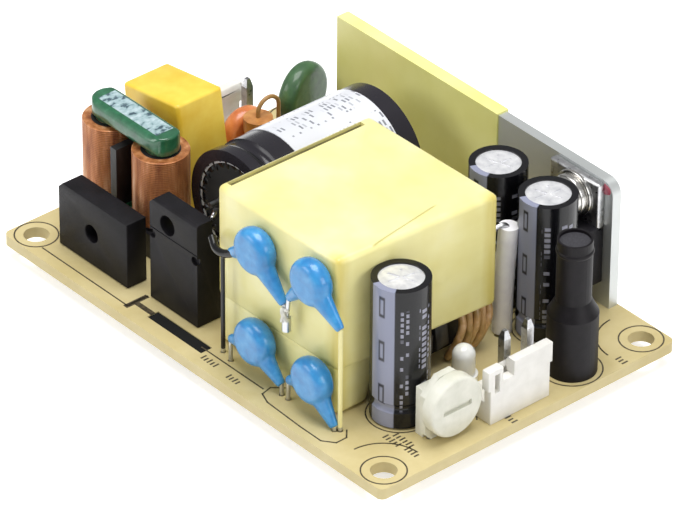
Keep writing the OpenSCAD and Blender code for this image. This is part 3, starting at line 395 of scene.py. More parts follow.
def bobbin_resin():
    # Phenolic moulding: black, satin, slightly streaky from the mould
    mat, tree, shader = material("phenolic_moulding", "1A191B", 0.42)
    streaks = noise(tree, 0.6, 3, 0.6, coords(tree, scale=(1, 1, 0.3)))
    tint(tree, shader, streaks, [(0.3, "121113"), (0.75, "2A282B")])
    bump(tree, shader, streaks, 0.03, 0.4)
    return mat


def enamelled_copper(settings):
    # Enamelled copper wire: warm brown-orange metal under clear varnish, with upright streaks of painted
    # highlight and painted shade
    mat, tree, shader = material("enamelled_copper", settings.copper, 0.4, 0.3, Coat_Weight=0.4)
    shader.inputs["Coat Roughness"].default_value = 0.2
    # Upright streaks: lighter and darker bands in the colour are painted highlight and painted shade
    streaks = noise(tree, 1.1, 3, 0.6, coords(tree, scale=(1, 1, 0.12)))
    colour = ramp(tree, streaks, [(0.3, shifted(settings.copper, -54, -48, -36)), (0.52, settings.copper),
                                  (0.75, shifted(settings.copper, 40, 59, 66))])
    link(tree, colour, shader, "Base Color")
    return mat


def polyester_tape(settings):
    # Polyester film tape, wound: pale yellow with the layers' edges and trapped folds under it
    mat, tree, shader = material("polyester_tape", settings.colour, 0.36, Coat_Weight=0.2,
                                 Subsurface_Weight=0.0)
    cloud = noise(tree, 8, 3, 0.5)
    layers = noise(tree, 1.6, 2, 0.4, coords(tree, scale=(0.12, 0.12, 1)))
    colour = ramp(tree, cloud, [(0.25, shifted(settings.colour, -9, -12, -24)), (0.55, settings.colour),
                                (0.8, shifted(settings.colour, 5, 8, 26))])
    shade = mix(tree, ramp(tree, layers, [(0.45, "000000"), (0.75, "505050")]), colour,
                shifted(settings.colour, -20, -25, -31))
    x, y, z = axes(tree)
    # The upright corners, where the layers bunch up, are painted deeper yellow in upright streaks: partly
    # the folds' own tone, partly painted shade on the rounded edges
    corners = None
    for (start_x, end_x), (start_y, end_y) in TAPE_FOLD_AND_SHADE_ZONES:
        corner = calc(tree, "MULTIPLY", within(tree, x, start_x*MM, end_x*MM, 0.9*MM),
                      within(tree, y, start_y*MM, end_y*MM, 0.9*MM))
        corners = corner if corners is None else calc(tree, "MAXIMUM", corners, corner)
    streaks = noise(tree, 1.1, 2, 0.5, coords(tree, scale=(1, 1, 0.1)))
    fold_and_shade = calc(tree, "MULTIPLY", corners, calc(tree, "MULTIPLY_ADD", streaks, 0.9, 0.45))
    shade = mix(tree, fold_and_shade, shade, shifted(settings.colour, -26, -35, -61))
    # The tape's loose end leaves one slanting line on the top, raised by the bump and painted darker as
    # the shade along its fold
    lean = calc(tree, "MULTIPLY_ADD", y, 0.14, x)
    top_only = within(tree, z, high("transformer_wrap").z - 0.3*MM, 0.1)
    line = calc(tree, "MULTIPLY", within(tree, lean, 20.55*MM, 20.75*MM, 0.1*MM),
                within(tree, y, -13.4*MM, -1.6*MM, 0.4*MM))
    line = calc(tree, "MULTIPLY", line, top_only)
    shade = mix(tree, calc(tree, "MULTIPLY", line, 0.65), shade, shifted(settings.colour, -64, -69, -83))
    link(tree, shade, shader, "Base Color")
    height = calc(tree, "ADD", noise(tree, 6, 3, 0.5), calc(tree, "MULTIPLY", layers, 0.5))
    bump(tree, shader, calc(tree, "MULTIPLY_ADD", line, 0.8, height), 0.25, 0.55)
    return mat


def wire_sleeve():
    # Extruded white sleeving, faintly lilac
    mat, tree, shader = material("white_sleeving", "ECEAF0", 0.4)
    tint(tree, shader, noise(tree, 1.5, 3), [(0.3, "F0EEF4"), (0.7, "FDFCFE")])
    return mat


def green_core():
    # Epoxy-coated ferrite: glossy deep green with an uneven sprayed skin
    mat, tree, shader = material("green_coated_ferrite", "2F7A55", 0.28, Coat_Weight=0.6)
    shader.inputs["Coat Roughness"].default_value = 0.12
    cloud = noise(tree, 1.4, 3, 0.6)
    colour = ramp(tree, cloud, [(0.25, "1A5036"), (0.55, "286746"), (0.85, "3F8160")])
    link(tree, colour, shader, "Base Color")
    bump(tree, shader, cloud, 0.08, 0.5)
    return mat


def mint_print():
    # Pad-printed pale mint panel on the core's top, worn through in places
    mat, tree, shader = material("mint_print", "9FBDB6", 0.4, Coat_Weight=0.2)
    worn = noise(tree, 0.75, 2, 0.6, coords(tree, scale=(1, 0.6, 1)))
    colour = ramp(tree, worn, [(0.36, "3F5560"), (0.46, "93AEB2"), (0.7, "BBCDD2")])
    link(tree, colour, shader, "Base Color")
    return mat


def yellow_case():
    # Injection-moulded PBT case: strong yellow, semi-gloss, slightly orange in soft clouds
    mat, tree, shader = material("yellow_pbt", "F2C72B", 0.33, Coat_Weight=0.15)
    cloud = noise(tree, 4, 3, 0.5)
    tint(tree, shader, cloud, [(0.3, "EEC436"), (0.7, "FADC5C")])
    bump(tree, shader, noise(tree, 0.4, 2), 0.015, 0.4)
    return mat


def shrink_film(name, base="121216"):
    # Shrunk PVC sleeve: glossy near black with a soft ripple
    mat, tree, shader = material(name, base, 0.24, Coat_Weight=0.15, Specular_IOR_Level=0.32)
    shader.inputs["Coat Roughness"].default_value = 0.1
    bump(tree, shader, noise(tree, 2.5, 2, 0.5), 0.05, 0.5)
    return mat, tree, shader


def polar(tree, centre, axis):
    """Angle round an axis through centre, from -pi to pi, and the place along it."""
    x, y, z = axes(tree, centre)
    if axis == "Z":
        return calc(tree, "ARCTAN2", y, x), z
    return calc(tree, "ARCTAN2", z, x), y


def striped_sleeve(name, centre, start, end, height):
    """Sleeve with a pale polarity stripe between two angles, and oblong minus marks in it."""
    mat, tree, shader = shrink_film(name)
    angle, z = polar(tree, centre, "Z")
    stripe = within(tree, angle, start, end, 0.02)
    mid, half = (start + end)/2, (end - start)/2
    marks = None
    for at in (-0.27, 0.05, 0.37):
        outer = calc(tree, "MULTIPLY", within(tree, z, (at - 0.075)*height, (at + 0.075)*height, 0.00012),
                     within(tree, angle, mid - 0.26*half, mid + 0.26*half, 0.02))
        inner = calc(tree, "MULTIPLY", within(tree, z, (at - 0.052)*height, (at + 0.052)*height, 0.00012),
                     within(tree, angle, mid - 0.13*half, mid + 0.13*half, 0.02))
        ring = calc(tree, "SUBTRACT", outer, inner)
        marks = ring if marks is None else calc(tree, "MAXIMUM", marks, ring)
    pale = mix(tree, marks, "9296AC", "33343E")
    turned = calc(tree, "MULTIPLY", angle, (high(CAPS[0]).x - low(CAPS[0]).x)/2)
    cells = dashes(tree, z, turned, 0.4, {
        "Scale": 1000.0, "Mortar Size": 0.16, "Brick Width": 0.85, "Row Height": 1.15, "Bias": -0.2})
    cut = sharpen(tree, cells, 0.5, 0.6)
    columns = calc(tree, "MAXIMUM", within(tree, angle, end + 0.2, end + 0.48, 0.02),
                   within(tree, angle, end + 0.85, end + 1.35, 0.02))
    words = calc(tree, "MULTIPLY", calc(tree, "MULTIPLY", cut, columns),
                 within(tree, z, -0.38*height, 0.36*height, 0.0002))
    dark = mix(tree, calc(tree, "MULTIPLY", words, 0.75), "0F0F13", "A9AABB")
    link(tree, mix(tree, stripe, dark, pale), shader, "Base Color")
    return mat


def bulk_label():
    # Printed paper label: white with rows of small grey blocks in place of words
    mat, tree, shader = material("printed_label", "EFEFF1", 0.4, Coat_Weight=0.3)
    angle, y = polar(tree, BULK_AXIS, "Y")
    round_mm = calc(tree, "MULTIPLY", angle, 9.0)
    blocks = dashes(tree, calc(tree, "MULTIPLY", y, 1000.0), round_mm, 0.37, {
        "Scale": 1.0, "Mortar Size": 0.17, "Brick Width": 0.62, "Row Height": 1.2, "Bias": 0.1})
    cut = sharpen(tree, blocks, 0.45, 0.6)
    band = calc(tree, "MULTIPLY", cut, within(tree, y, -4.6*MM, 10.5*MM, 0.0001))
    row = calc(tree, "FRACT", calc(tree, "DIVIDE", round_mm, 6.0))
    rows = calc(tree, "MULTIPLY", band, within(tree, row, 0.12, 0.86, 0.01))
    colour = mix(tree, calc(tree, "MULTIPLY", rows, 0.8), "DDDFE5", "565A66")
    link(tree, colour, shader, "Base Color")
    bump(tree, shader, noise(tree, 4, 2), 0.05, 0.4)
    return mat


def dipped(name, colours, roughness=0.22, grain_mm=1.6):
    # Dip-coated epoxy or phenolic: one glossy skin, slightly lumpy, darker in the hollows
    mat, tree, shader = material(name, colours[1], roughness, Coat_Weight=0.5)
    shader.inputs["Coat Roughness"].default_value = 0.12
    cloud = noise(tree, grain_mm, 3, 0.55)
    tint(tree, shader, cloud, [(0.25, colours[0]), (0.55, colours[1]), (0.85, colours[2])])
    bump(tree, shader, cloud, 0.12, 0.5)
    return mat


def soft_resin(name, colour, pale, roughness=0.38, grain_mm=2.0, specular=0.45):
    # Moulded plastic or rubber in one colour: faint clouds and a satin skin
    mat, tree, shader = material(name, colour, roughness, Specular_IOR_Level=specular)
    tint(tree, shader, noise(tree, grain_mm, 3), [(0.3, colour), (0.7, pale)])
    bump(tree, shader, noise(tree, 0.35, 2), 0.015, 0.4)
    return mat


def clear_resin():
    # Cast epoxy lens: clear, faintly milky, glossy
    mat, tree, shader = material("cast_clear_epoxy", "FAFBFA", 0.08, Coat_Weight=0.6)
    sheen(tree, shader, noise(tree, 0.8, 2), 0.1, 0.04)
    return mat


def solder():
    # Tin solder, wave-soldered: silvery with a faintly frosted skin
    mat, tree, shader = material("tin_solder", "BFC1C4", 0.3, 1.0)
    frost = noise(tree, 0.35, 3, 0.7)
    sheen(tree, shader, frost, 0.3, 0.18)
    bump(tree, shader, frost, 0.02, 0.4)
    return mat


def paint_dab():
    # Thread-locking lacquer, dabbed on: glossy pinkish red
    mat, tree, shader = material("locking_lacquer", "C2566A", 0.25, Coat_Weight=0.6)
    tint(tree, shader, noise(tree, 0.8, 2), [(0.3, "B84A60"), (0.7, "D97C8C")])
    return mat


# ---------------------------------------------------------------- modelling helpers

def deselect():
    if bpy.context.mode != "OBJECT":
        bpy.ops.object.mode_set(mode="OBJECT")
    bpy.ops.object.select_all(action="DESELECT")


def only(*objs):
    """Selects these objects and makes the first active."""
    deselect()
    for o in objs:
        o.select_set(True)
    bpy.context.view_layer.objects.active = objs[0]
    return objs[0]


def modify(obj, kind, **settings):
    """Adds a modifier and applies it."""
    only(obj)
    bpy.ops.object.modifier_add(type=kind)
    mod = obj.modifiers[-1]
    for key, value in settings.items():
        setattr(mod, key, value)
    bpy.ops.object.modifier_apply(modifier=mod.name)
    return obj


def settle(obj):
    """Puts the object's place into its mesh."""
    only(obj)
    bpy.ops.object.transform_apply(location=True, rotation=True, scale=True)
    return obj


def join(objs, name):
    """Joins objects into one, named."""
    for o in objs:
        settle(o)
    only(*objs)
    if len(objs) > 1:
        bpy.ops.object.join()
    obj = bpy.context.view_layer.objects.active
    obj.name = name
    obj.data.name = name
    return obj


def smooth(obj, degrees):
    """Shades the object smooth where its faces meet at less than this angle."""
    only(obj)
    bpy.ops.object.shade_smooth_by_angle(angle=math.radians(degrees))
    return obj


def paint(obj, *mats):
    """Replaces the object's materials, slot by slot."""
    slots = obj.data.materials
    if len(slots) == 0:
        slots.append(mats[0])
    for i in range(len(slots)):
        slots[i] = mats[min(i, len(mats) - 1)]
    return obj


def hand_over(obj, mat, body="root", instead=()):
    """Gives a finished piece its material and body, and hides the nodes it replaces."""
    paint(obj, mat)
    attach(obj, body)
    if instead:
        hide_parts(*instead)
    return obj


def deliver(objs, name, degrees, mat, body="root", instead=()):
    """Joins the parts of a piece, shades it and hands it over."""
    obj = join(objs, name)
    if degrees:
        smooth(obj, degrees)
    return hand_over(obj, mat, body, instead)


def block(centre, size, bevel=0.0, segments=3, turn=(0, 0, 0)):
    """A box with rounded edges, in millimetres."""
    deselect()
    bpy.ops.mesh.primitive_cube_add(
        size=1, location=Vector(centre)*MM, scale=Vector(size)*MM, rotation=turn)
    obj = settle(bpy.context.active_object)
    if bevel:
        modify(obj, "BEVEL", width=bevel*MM, segments=segments)
    return obj


def cut(obj, centre, size, turn=(0, 0, 0)):
    """Cuts a box out of an object, in millimetres."""
    cutter = block(centre, size, turn=turn)
    modify(obj, "BOOLEAN", operation="DIFFERENCE", solver="EXACT", object=cutter)
    bpy.data.objects.remove(cutter)


def copy_of(node, name):
    """A merged copy of a CAD node's mesh, with its flat faces joined up."""
    src = frame["nodes"][node]
    obj = bpy.data.objects.new(name, src.data.copy())
    bpy.context.scene.collection.objects.link(obj)
    obj.data.name = name
    only(obj)
    bpy.ops.object.mode_set(mode="EDIT")
    bpy.ops.mesh.select_all(action="SELECT")
    bpy.ops.mesh.remove_doubles(threshold=1e-6)
    bpy.ops.mesh.dissolve_limited(angle_limit=math.radians(0.5))
    bpy.ops.object.mode_set(mode="OBJECT")
    return obj


def softened(node, name, width, mat, segments=3, angle=40, body="root"):
    """A CAD node with its sharp edges rounded."""
    obj = copy_of(node, name)
    modify(obj, "BEVEL", width=width, segments=segments, limit_method="ANGLE",
           angle_limit=math.radians(angle), use_clamp_overlap=True, harden_normals=False)
    smooth(obj, 50)
    return hand_over(obj, mat, body, (node,))


def dipped_body(node, name, mat, grain, rounds=6, extra=()):
    """A coated body: the CAD solid remeshed and smoothed so that disc and legs flow together."""
    obj = copy_of(node, name)
    if extra:
        obj = join([obj, *extra], name)
    modify(obj, "REMESH", mode="VOXEL", voxel_size=grain, use_smooth_shade=True)
    modify(obj, "SMOOTH", factor=0.6, iterations=rounds)
    only(obj)
    bpy.ops.object.shade_smooth()
    return hand_over(obj, mat, "root", (node,))


def ring_print(x, y, radius, width):
    """A flat printed ring on the board."""
    deselect()
    bpy.ops.mesh.primitive_circle_add(vertices=64, radius=radius, fill_type="NOTHING",
                                      location=(x, y, BOARD_TOP))
    obj = bpy.context.active_object
    bpy.ops.object.mode_set(mode="EDIT")
    bpy.ops.mesh.select_all(action="SELECT")
    bpy.ops.mesh.extrude_region_move()
    grow = (radius + width)/radius
    bpy.ops.transform.resize(value=(grow, grow, 1))
    bpy.ops.object.mode_set(mode="OBJECT")
    return obj


def line_print(a, b, width):
    """A flat printed line on the board from a to b, in millimetres."""
    start, end = Vector(a)*MM, Vector(b)*MM
    run = end - start
    deselect()
    bpy.ops.mesh.primitive_plane_add(size=1, location=(*((start + end)/2), BOARD_TOP),
                                     rotation=(0, 0, math.atan2(run.y, run.x)))
    obj = bpy.context.active_object
    obj.scale = (run.length + width, width, 1)
    return obj


def arc_print(x, y, radius, start, end, width):
    """A printed arc between two angles in degrees, in millimetres."""
    steps = 16
    turn = [math.radians(start + (end - start)*i/steps) for i in range(steps + 1)]
    return path_print([(x + radius*math.cos(a), y + radius*math.sin(a)) for a in turn], width)


def path_print(points, width):
    """Printed lines from point to point, in millimetres."""
    return [line_print(a, b, width) for a, b in zip(points, points[1:])]


def tube(points, radius, name, resolution=4):
    """A round wire along points in millimetres, made a mesh."""
    curve = bpy.data.curves.new(name, "CURVE")
    curve.dimensions = "3D"
    curve.bevel_depth = radius*MM
    curve.bevel_resolution = resolution
    curve.use_fill_caps = True
    curve.resolution_u = 8
    spline = curve.splines.new("BEZIER")
    spline.bezier_points.add(len(points) - 1)
    for p, at in zip(spline.bezier_points, points):
        p.co = Vector(at)*MM
        p.handle_left_type = p.handle_right_type = "AUTO"
    obj = bpy.data.objects.new(name, curve)
    bpy.context.scene.collection.objects.link(obj)
    only(obj)
    bpy.ops.object.convert(target="MESH")
    return bpy.context.view_layer.objects.active


# ---------------------------------------------------------------- operators

MATS = {}


def plain_nodes():
    """The CAD nodes whose shape stays, each with its finish."""
    tin = MATS["tin"]
    plan = {n: tin for n in frame["nodes"] if n.endswith(("_leads", "_pins", "_terminals"))}
    plan.update({
        "board": MATS["laminate"], "solder_joints": MATS["solder"], "heatsink": MATS["plate"],
        "insulating_sheet": MATS["film"], "rectifier_screw": MATS["nickel"],
        "transformer_core": MATS["ferrite"], "transformer_bobbin": MATS["resin"],
        "transformer_winding": MATS["copper"], "transformer_flying_lead": MATS["sleeving"],
        "choke_bobbin": MATS["resin"], "bulk_capacitor_can": MATS["can"],
        "bulk_capacitor_sleeve": MATS["bulk_sleeve"], "bulk_capacitor_label": MATS["label"],
        "bulk_capacitor_bung": MATS["bung"], "fuse_body": MATS["tan_body"],
        "rod_choke_sleeve": MATS["shrink"], "rod_choke_core": MATS["ferrite"],
        "rod_choke_coil": MATS["copper"], "indicator_lens": MATS["lens"]})
    plan.update({f"output_capacitor_can_{i}": MATS["can"] for i in (1, 2, 3)})
    plan["safety_capacitor_leads"] = MATS["sleeved"]
    plan["fuse_leads"] = MATS["fuse_wire"]
    return plan


class SUPPLY_OT_finishes(bpy.types.Operator):
    """Makes the materials and dresses the pieces whose shape stays"""
    bl_idname = "supply.finishes"
    bl_label = "Finishes"

    def execute(self, context):
        scene = context.scene
        blue = scene.supply_coating.blue
        height = high(CAPS[0]).z - low(CAPS[0]).z
        # Where each can's pale stripe starts and ends round it, in radians
        stripes = [(-1.86, -0.93), (-2.0, -1.13), (-2.0, -1.13)]
        MATS.update({
            "laminate": laminate(scene.supply_board), "ink": print_ink(scene.supply_board),
            "plate": rolled_aluminium(), "can": drawn_aluminium(), "film": insulating_film(),
            "epoxy": moulded_epoxy(), "tin": tinned_wire(), "nickel": nickel_plate(),
            "ferrite": ferrite(), "resin": bobbin_resin(),
            "copper": enamelled_copper(scene.supply_winding),
            "tape": polyester_tape(scene.supply_tape), "sleeving": wire_sleeve(),
            "green": green_core(), "mint": mint_print(), "case": yellow_case(),
            "bulk_sleeve": shrink_film("shrunk_pvc_bulk", "26242A")[0], "label": bulk_label(),
            "bung": soft_resin("moulded_rubber", "161616", "242424", 0.7),
            "forest": dipped("dipped_green_epoxy", ("2B4E30", "3A6139", "55794D"), 0.55),
            "orange": dipped("dipped_orange_epoxy", ("C8662F", "E0864A", "EFA56E"), 0.35),
            "tan_body": dipped("tan_lacquered_ceramic", ("A8682F", "C98A4A", "DDA868"), 0.4),
            "blue": dipped("dipped_blue_epoxy", (shifted(blue, -16, -24, -21), blue,
                                                 shifted(blue, 36, 25, 15)), 0.36),
            "shrink": soft_resin("shrink_tubing", "0A070B", "130F14", 0.5, 1.2, 0.25),
            "white": soft_resin("white_polyester_moulding", "D6D6C8", "E5E4D8"),
            "nylon": soft_resin("white_nylon_moulding", "E4E2DC", "EFEDE8", 0.32),
            "lens": clear_resin(), "solder": solder(), "dab": paint_dab(),
            # The tape slot's bottom strip is dark olive as painted shade of the gap
            "tape_edge": soft_resin("tape_gap_painted_shade", "3E3B26", "8A8450", 0.6, 6.0),
            "fuse_wire": lacquered_lead(),
            "frosted": soft_resin("frosted_tin", "C9C7BC", "E9E7DD", 0.45, 0.6),
            # The board slot's strip is black as painted shadow
            "slot": soft_resin("slot_painted_shadow", "040404", "0A0A0A", 0.9),
            "tan_wire": dipped("tan_sleeving", ("8C7038", "B58D58", "DDB894"), 0.4),
            "sleeved": sleeved_wire(), "black_sleeve": shrink_film("black_sleeving", "101012")[0]})
        for node, (start, end) in zip(CAPS, stripes):
            MATS[node] = striped_sleeve("shrunk_pvc_" + node[-1], middle(node), start, end, height)
            paint(frame["nodes"][node], MATS[node])
        for node, mat in plain_nodes().items():
            paint(frame["nodes"][node], mat)
        return {"FINISHED"}


class SUPPLY_OT_print(bpy.types.Operator):
    """Prints the component outlines on the board"""
    bl_idname = "supply.board_print"
    bl_label = "Board print"

    def execute(self, context):
        w = context.scene.supply_board.line
        parts = []
        mount = frame["record"]["mounts"][0]["dims"]
        hole_x, hole_y = mount["spacing_x_mm"]/2, mount["spacing_y_mm"]/2
        for x in (-hole_x, hole_x):
            for y in (-hole_y, hole_y):
                parts.append(ring_print(x*MM, y*MM, 2.85*MM, w))
        for node in CAPS:
            at = middle(node)
            parts.append(ring_print(at.x, at.y, (high(node).x - low(node).x)/2 + 0.35*MM, w))
        rod = middle("rod_choke_sleeve")
        parts.append(ring_print(rod.x, rod.y, 4.0*MM, w))
        bridge = [(-31.9, -23.6), (-14.2, -23.6), (-14.2, -20.2)]
        discs = [(13.4, -19.9), (12.0, -21.4), (12.4, -23.1), (14.2, -23.8), (21.0, -24.1),
                 (25.0, -24.1), (26.6, -22.9), (26.6, -21.2), (25.4, -20.1)]
        trimmer = [(31.0, -5.9), (32.6, -4.6), (34.4, -6.0)]
        edge = [(-0.6, -22.3), (11.6, -22.3)]
        for points in (bridge, discs, trimmer, edge):
            parts += path_print(points, w)
        for y, start in ((-hole_y, 92), (hole_y, 182)):
            parts += arc_print(hole_x, y, 5.8, start, start + 86, w)
        for points in (((-14.2, -23.6), (-14.2, -20.6)), ((-13.4, -22.3), (-10.9, -22.3))):
            parts += path_print(points, 4*w)
        # Small legends are rows of short strokes: place of the first stroke and their number
        legends = [(1.2, -23.9, 5), (6.6, -24.2, 4), (29.6, -17.6, 5), (30.2, -16.4, 6),
                   (33.4, -17.3, 4), (36.6, -3.0, 3), (36.2, 16.6, 3)]
        pitch, tall, short = 0.62, 0.75, 0.55
        for x, y, count in legends:
            for i in range(count):
                stroke = short if i % 2 else tall
                parts.append(line_print((x + i*pitch, y), (x + i*pitch, y + stroke), 1.2*w))
        obj = join(parts, "board_print")
        modify(obj, "SOLIDIFY", thickness=0.03*MM, offset=1.0)
        hand_over(obj, MATS["ink"])
        return {"FINISHED"}


class SUPPLY_OT_choke(bpy.types.Operator):
    """Winds the line choke's two coils turn by turn and finishes its core"""
    bl_idname = "supply.choke"
    bl_label = "Line choke"

    def execute(self, context):
        wire = context.scene.supply_winding.wire
        lo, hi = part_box("choke_coils")
        outer = (hi.y - lo.y)/2
        turns = int((hi.z - lo.z)/wire)
        pitch = (hi.z - lo.z)/turns
        coils = []
        for x in (lo.x + outer, hi.x - outer):
            deselect()
            bpy.ops.mesh.primitive_torus_add(
                location=(x, (lo.y + hi.y)/2, lo.z + pitch/2), major_radius=outer - wire/2,
                minor_radius=wire/2, major_segments=72, minor_segments=8)
            turn = bpy.context.active_object
            turn.scale = (1, 1, pitch/wire)
            settle(turn)
            modify(turn, "ARRAY", count=turns, use_relative_offset=False, use_constant_offset=True,
                   constant_offset_displace=(0, 0, pitch))
            coils.append(turn)
            deselect()
            bpy.ops.mesh.primitive_cylinder_add(
                vertices=64, radius=outer - 0.45*wire, depth=hi.z - lo.z - 0.1*MM, end_fill_type="NGON",
                location=(x, (lo.y + hi.y)/2, (lo.z + hi.z)/2))
            coils.append(bpy.context.active_object)
        deliver(coils, "choke_windings", 60, MATS["copper"], instead=("choke_coils",))
        dipped_body("choke_core", "choke_core_skin", MATS["green"], 0.2*MM, 9)
        lo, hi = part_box("choke_core")
        deselect()
        bpy.ops.mesh.primitive_plane_add(
            size=1, location=((lo.x + hi.x)/2, (lo.y + hi.y)/2, hi.z + 0.004*MM))
        panel = bpy.context.active_object
        panel.scale = (hi.x - lo.x - 3.4*MM, hi.y - lo.y - 2.0*MM, 1)
        panel = join([panel], "choke_core_print")
        modify(panel, "SOLIDIFY", thickness=0.02*MM, offset=0.0)
        hand_over(panel, MATS["mint"])
        return {"FINISHED"}


class SUPPLY_OT_transformer(bpy.types.Operator):
    """Winds the transformer's tape, and adds what shows below and beside it"""
    bl_idname = "supply.transformer"
    bl_label = "Transformer tape"

    def execute(self, context):
        rim = context.scene.supply_tape.rim
        lo, hi = box_mm("transformer_wrap")
        shell = block((0, 0, (TAPE_SKIRT + hi.z)/2), (1000, 1000, hi.z - TAPE_SKIRT))
        for v in shell.data.vertices:
            x, y = TAPE_CORNERS[v.co.x > 0, v.co.y > 0]
            v.co.x, v.co.y = x*MM, y*MM
        modify(shell, "BEVEL", width=rim, segments=4)
        # A slot in the top, between the last turn of tape and the sheet under it
        slot_x, slot_y = lo.x + 0.25, (lo.y + hi.y)/2 - 0.5
        slot_turn = (0, 0, math.radians(-0.7))
        cut(shell, (slot_x, slot_y, hi.z), (1.0, hi.y - lo.y - 2.4, 1.6), slot_turn)
        deliver([shell], "tape_shell", 40, MATS["tape"], instead=("transformer_wrap",))
        # A dark olive strip at the slot's bottom stands for the gap's shade: painted shade
        gap_shade = block((slot_x, slot_y, hi.z - 0.6), (0.96, hi.y - lo.y - 2.45, 0.1), turn=slot_turn)
        deliver([gap_shade], "tape_gap_shade", 0, MATS["tape_edge"])

        # The tape's front end hangs down to the board
        board = BOARD_TOP/MM
        apron = block((10.85, -16.9, (board + TAPE_SKIRT)/2 + 0.4), (23.3, 4.8, TAPE_SKIRT - board + 0.6))
        for v in apron.data.vertices:
            if v.co.y > -16*MM:
                v.co.y += 2.5*MM if v.co.z > 5*MM else 0.5*MM
        modify(apron, "BEVEL", width=rim, segments=4)
        deliver([apron], "tape_apron", 40, MATS["tape"])

        sleeve = tube(((21.7, 9.8, 1.7), (21.8, 9.9, 9.0), (22.1, 10.25, 18.0)), 1.35, "sleeve", 6)
        deliver([sleeve], "flying_lead_sleeve", 60, MATS["sleeving"],
                instead=("transformer_flying_lead",))
        wire = tube(((22.1, 10.25, 17.4), (22.0, 9.6, 18.3), (21.6, 8.0, 18.1), (21.2, 6.0, 17.6)),
                    0.35, "wire", 3)
        deliver([wire], "flying_lead_wire", 60, MATS["tin"])
        end = tube(((21.9, 9.4, -2.0), (21.85, 9.5, 0.0), (21.7, 9.8, 1.9)), 0.42, "end", 3)
        deliver([end], "flying_lead_end", 60, MATS["tin"])

        wires = []
        for i, y in enumerate((1.3, 2.6, 3.8, 4.9, 5.9)):
            odd = i % 2
            wires.append(tube(((22.6, y + 0.3, 8.8), (23.4 - 0.2*odd, y, 7.0),
                               (23.3, y - 0.9 + 0.5*odd, 4.6), (22.3, y - 1.5, 2.2)), 0.55, "wire", 3))
        deliver(wires, "transformer_lead_wires", 60, MATS["tan_wire"])
        feet = [block((22.0, y, z), (2.2, 2.2, 4.2), 0.25, 2, (math.radians(tilt), 0, 0))
                for y, z, tilt in ((-1.9, 6.9, 7), (-4.6, 5.6, -5))]
        deliver(feet, "bobbin_feet", 40, MATS["resin"])
        return {"FINISHED"}


class SUPPLY_OT_bodies(bpy.types.Operator):
    """Rounds the edges of the moulded bodies, cases and housings"""
    bl_idname = "supply.bodies"
    bl_label = "Moulded bodies"

    def execute(self, context):
        plan = [
            ("bridge_body", 0.16, "epoxy", "black_moulding", "root"),
            ("transistor_body", 0.16, "epoxy", "black_moulding", "root"),
            ("line_capacitor_case", 0.45, "case", "case_yellow", "root"),
            ("output_connector_housing", 0.12, "nylon", "connector_white", "root"),
            ("input_connector_housing", 0.12, "nylon", "connector_white", "root"),
            ("trimmer_body", 0.14, "white", "trimmer_white", "root"),
            ("trimmer_rotor", 0.12, "white", "trimmer_white", "trimmer_rotor"),
        ]
        for node, width, mat, slot, body in plan:
            softened(node, node + "_moulding", width*MM, MATS[mat], body=body)
        # The output connector's wall is open at one pin
        housing = bpy.data.objects["output_connector_housing_moulding"]
        hi = box_mm("output_connector_housing")[1]
        cut(housing, (hi.x, -2.6, hi.z), (3.2, 1.9, 4.4))
        return {"FINISHED"}


class SUPPLY_OT_rectifier(bpy.types.Operator):
    """Builds the output rectifier: moulded body, metal tab and the screw's washers"""
    bl_idname = "supply.rectifier"
    bl_label = "Output rectifier"

    def execute(self, context):
        lo, hi = box_mm("rectifier_body")
        body_w, body_h, tab_t, overlap = 9.3, 9.0, 1.3, 1.0
        x = lo.x + body_w/2
        body = block((x, (lo.y + hi.y)/2, lo.z + body_h/2), (body_w, hi.y - lo.y, body_h), 0.25)
        deliver([body], "rectifier_moulding", 50, MATS["epoxy"],
                instead=("rectifier_body",))
        tab = block((x, hi.y - tab_t/2, (lo.z + body_h - overlap + hi.z)/2),
                    (body_w, tab_t, hi.z - lo.z - body_h + overlap), 0.35)
        deliver([tab], "rectifier_tab", 50, MATS["tin"])
        screw = middle("rectifier_screw")
        washers = []
        for radius, near, far in ((3.3, 1.3, 1.8), (2.9, 1.85, 2.75)):
            deselect()
            bpy.ops.mesh.primitive_cylinder_add(
                vertices=48, radius=radius*MM, depth=(far - near)*MM,
                location=(screw.x, (hi.y - (near + far)/2)*MM, screw.z), rotation=(math.pi/2, 0, 0))
            washer = settle(bpy.context.active_object)
            washers.append(modify(washer, "BEVEL", width=0.1*MM, segments=2))
        deliver(washers, "screw_washers", 50, MATS["nickel"])
        return {"FINISHED"}


class SUPPLY_OT_coatings(bpy.types.Operator):
    """Models the dipped bodies of the disc capacitors, the thermistor and the surge absorber"""
    bl_idname = "supply.coatings"
    bl_label = "Dipped bodies"

    def execute(self, context):
        grain = context.scene.supply_coating.grain
        flatness = 0.6
        for i, (centre, end) in enumerate(DISCS, 1):
            node = f"safety_capacitor_{i}"
            y = middle(node).y
            a, b = Vector((centre[0], 0, centre[1]))*MM, Vector((end[0], 0, end[1]))*MM
            run = b - a
            deselect()
            bpy.ops.mesh.primitive_cone_add(
                vertices=32, radius1=2.5*MM, radius2=0.7*MM, depth=run.length,
                location=(a + b)/2 + Vector((0, y, 0)), rotation=(0, math.atan2(run.x, run.z), 0))
            tail = settle(bpy.context.active_object)
            for v in tail.data.vertices:
                v.co.y = y + (v.co.y - y)*flatness
            dipped_body(node, f"blue_coat_{i}", MATS["blue"], grain, 10, (tail,))
        dipped_body("thermistor_disc", "thermistor_coat", MATS["forest"], grain)
        dipped_body("varistor_disc", "varistor_coat", MATS["orange"], grain)
        return {"FINISHED"}


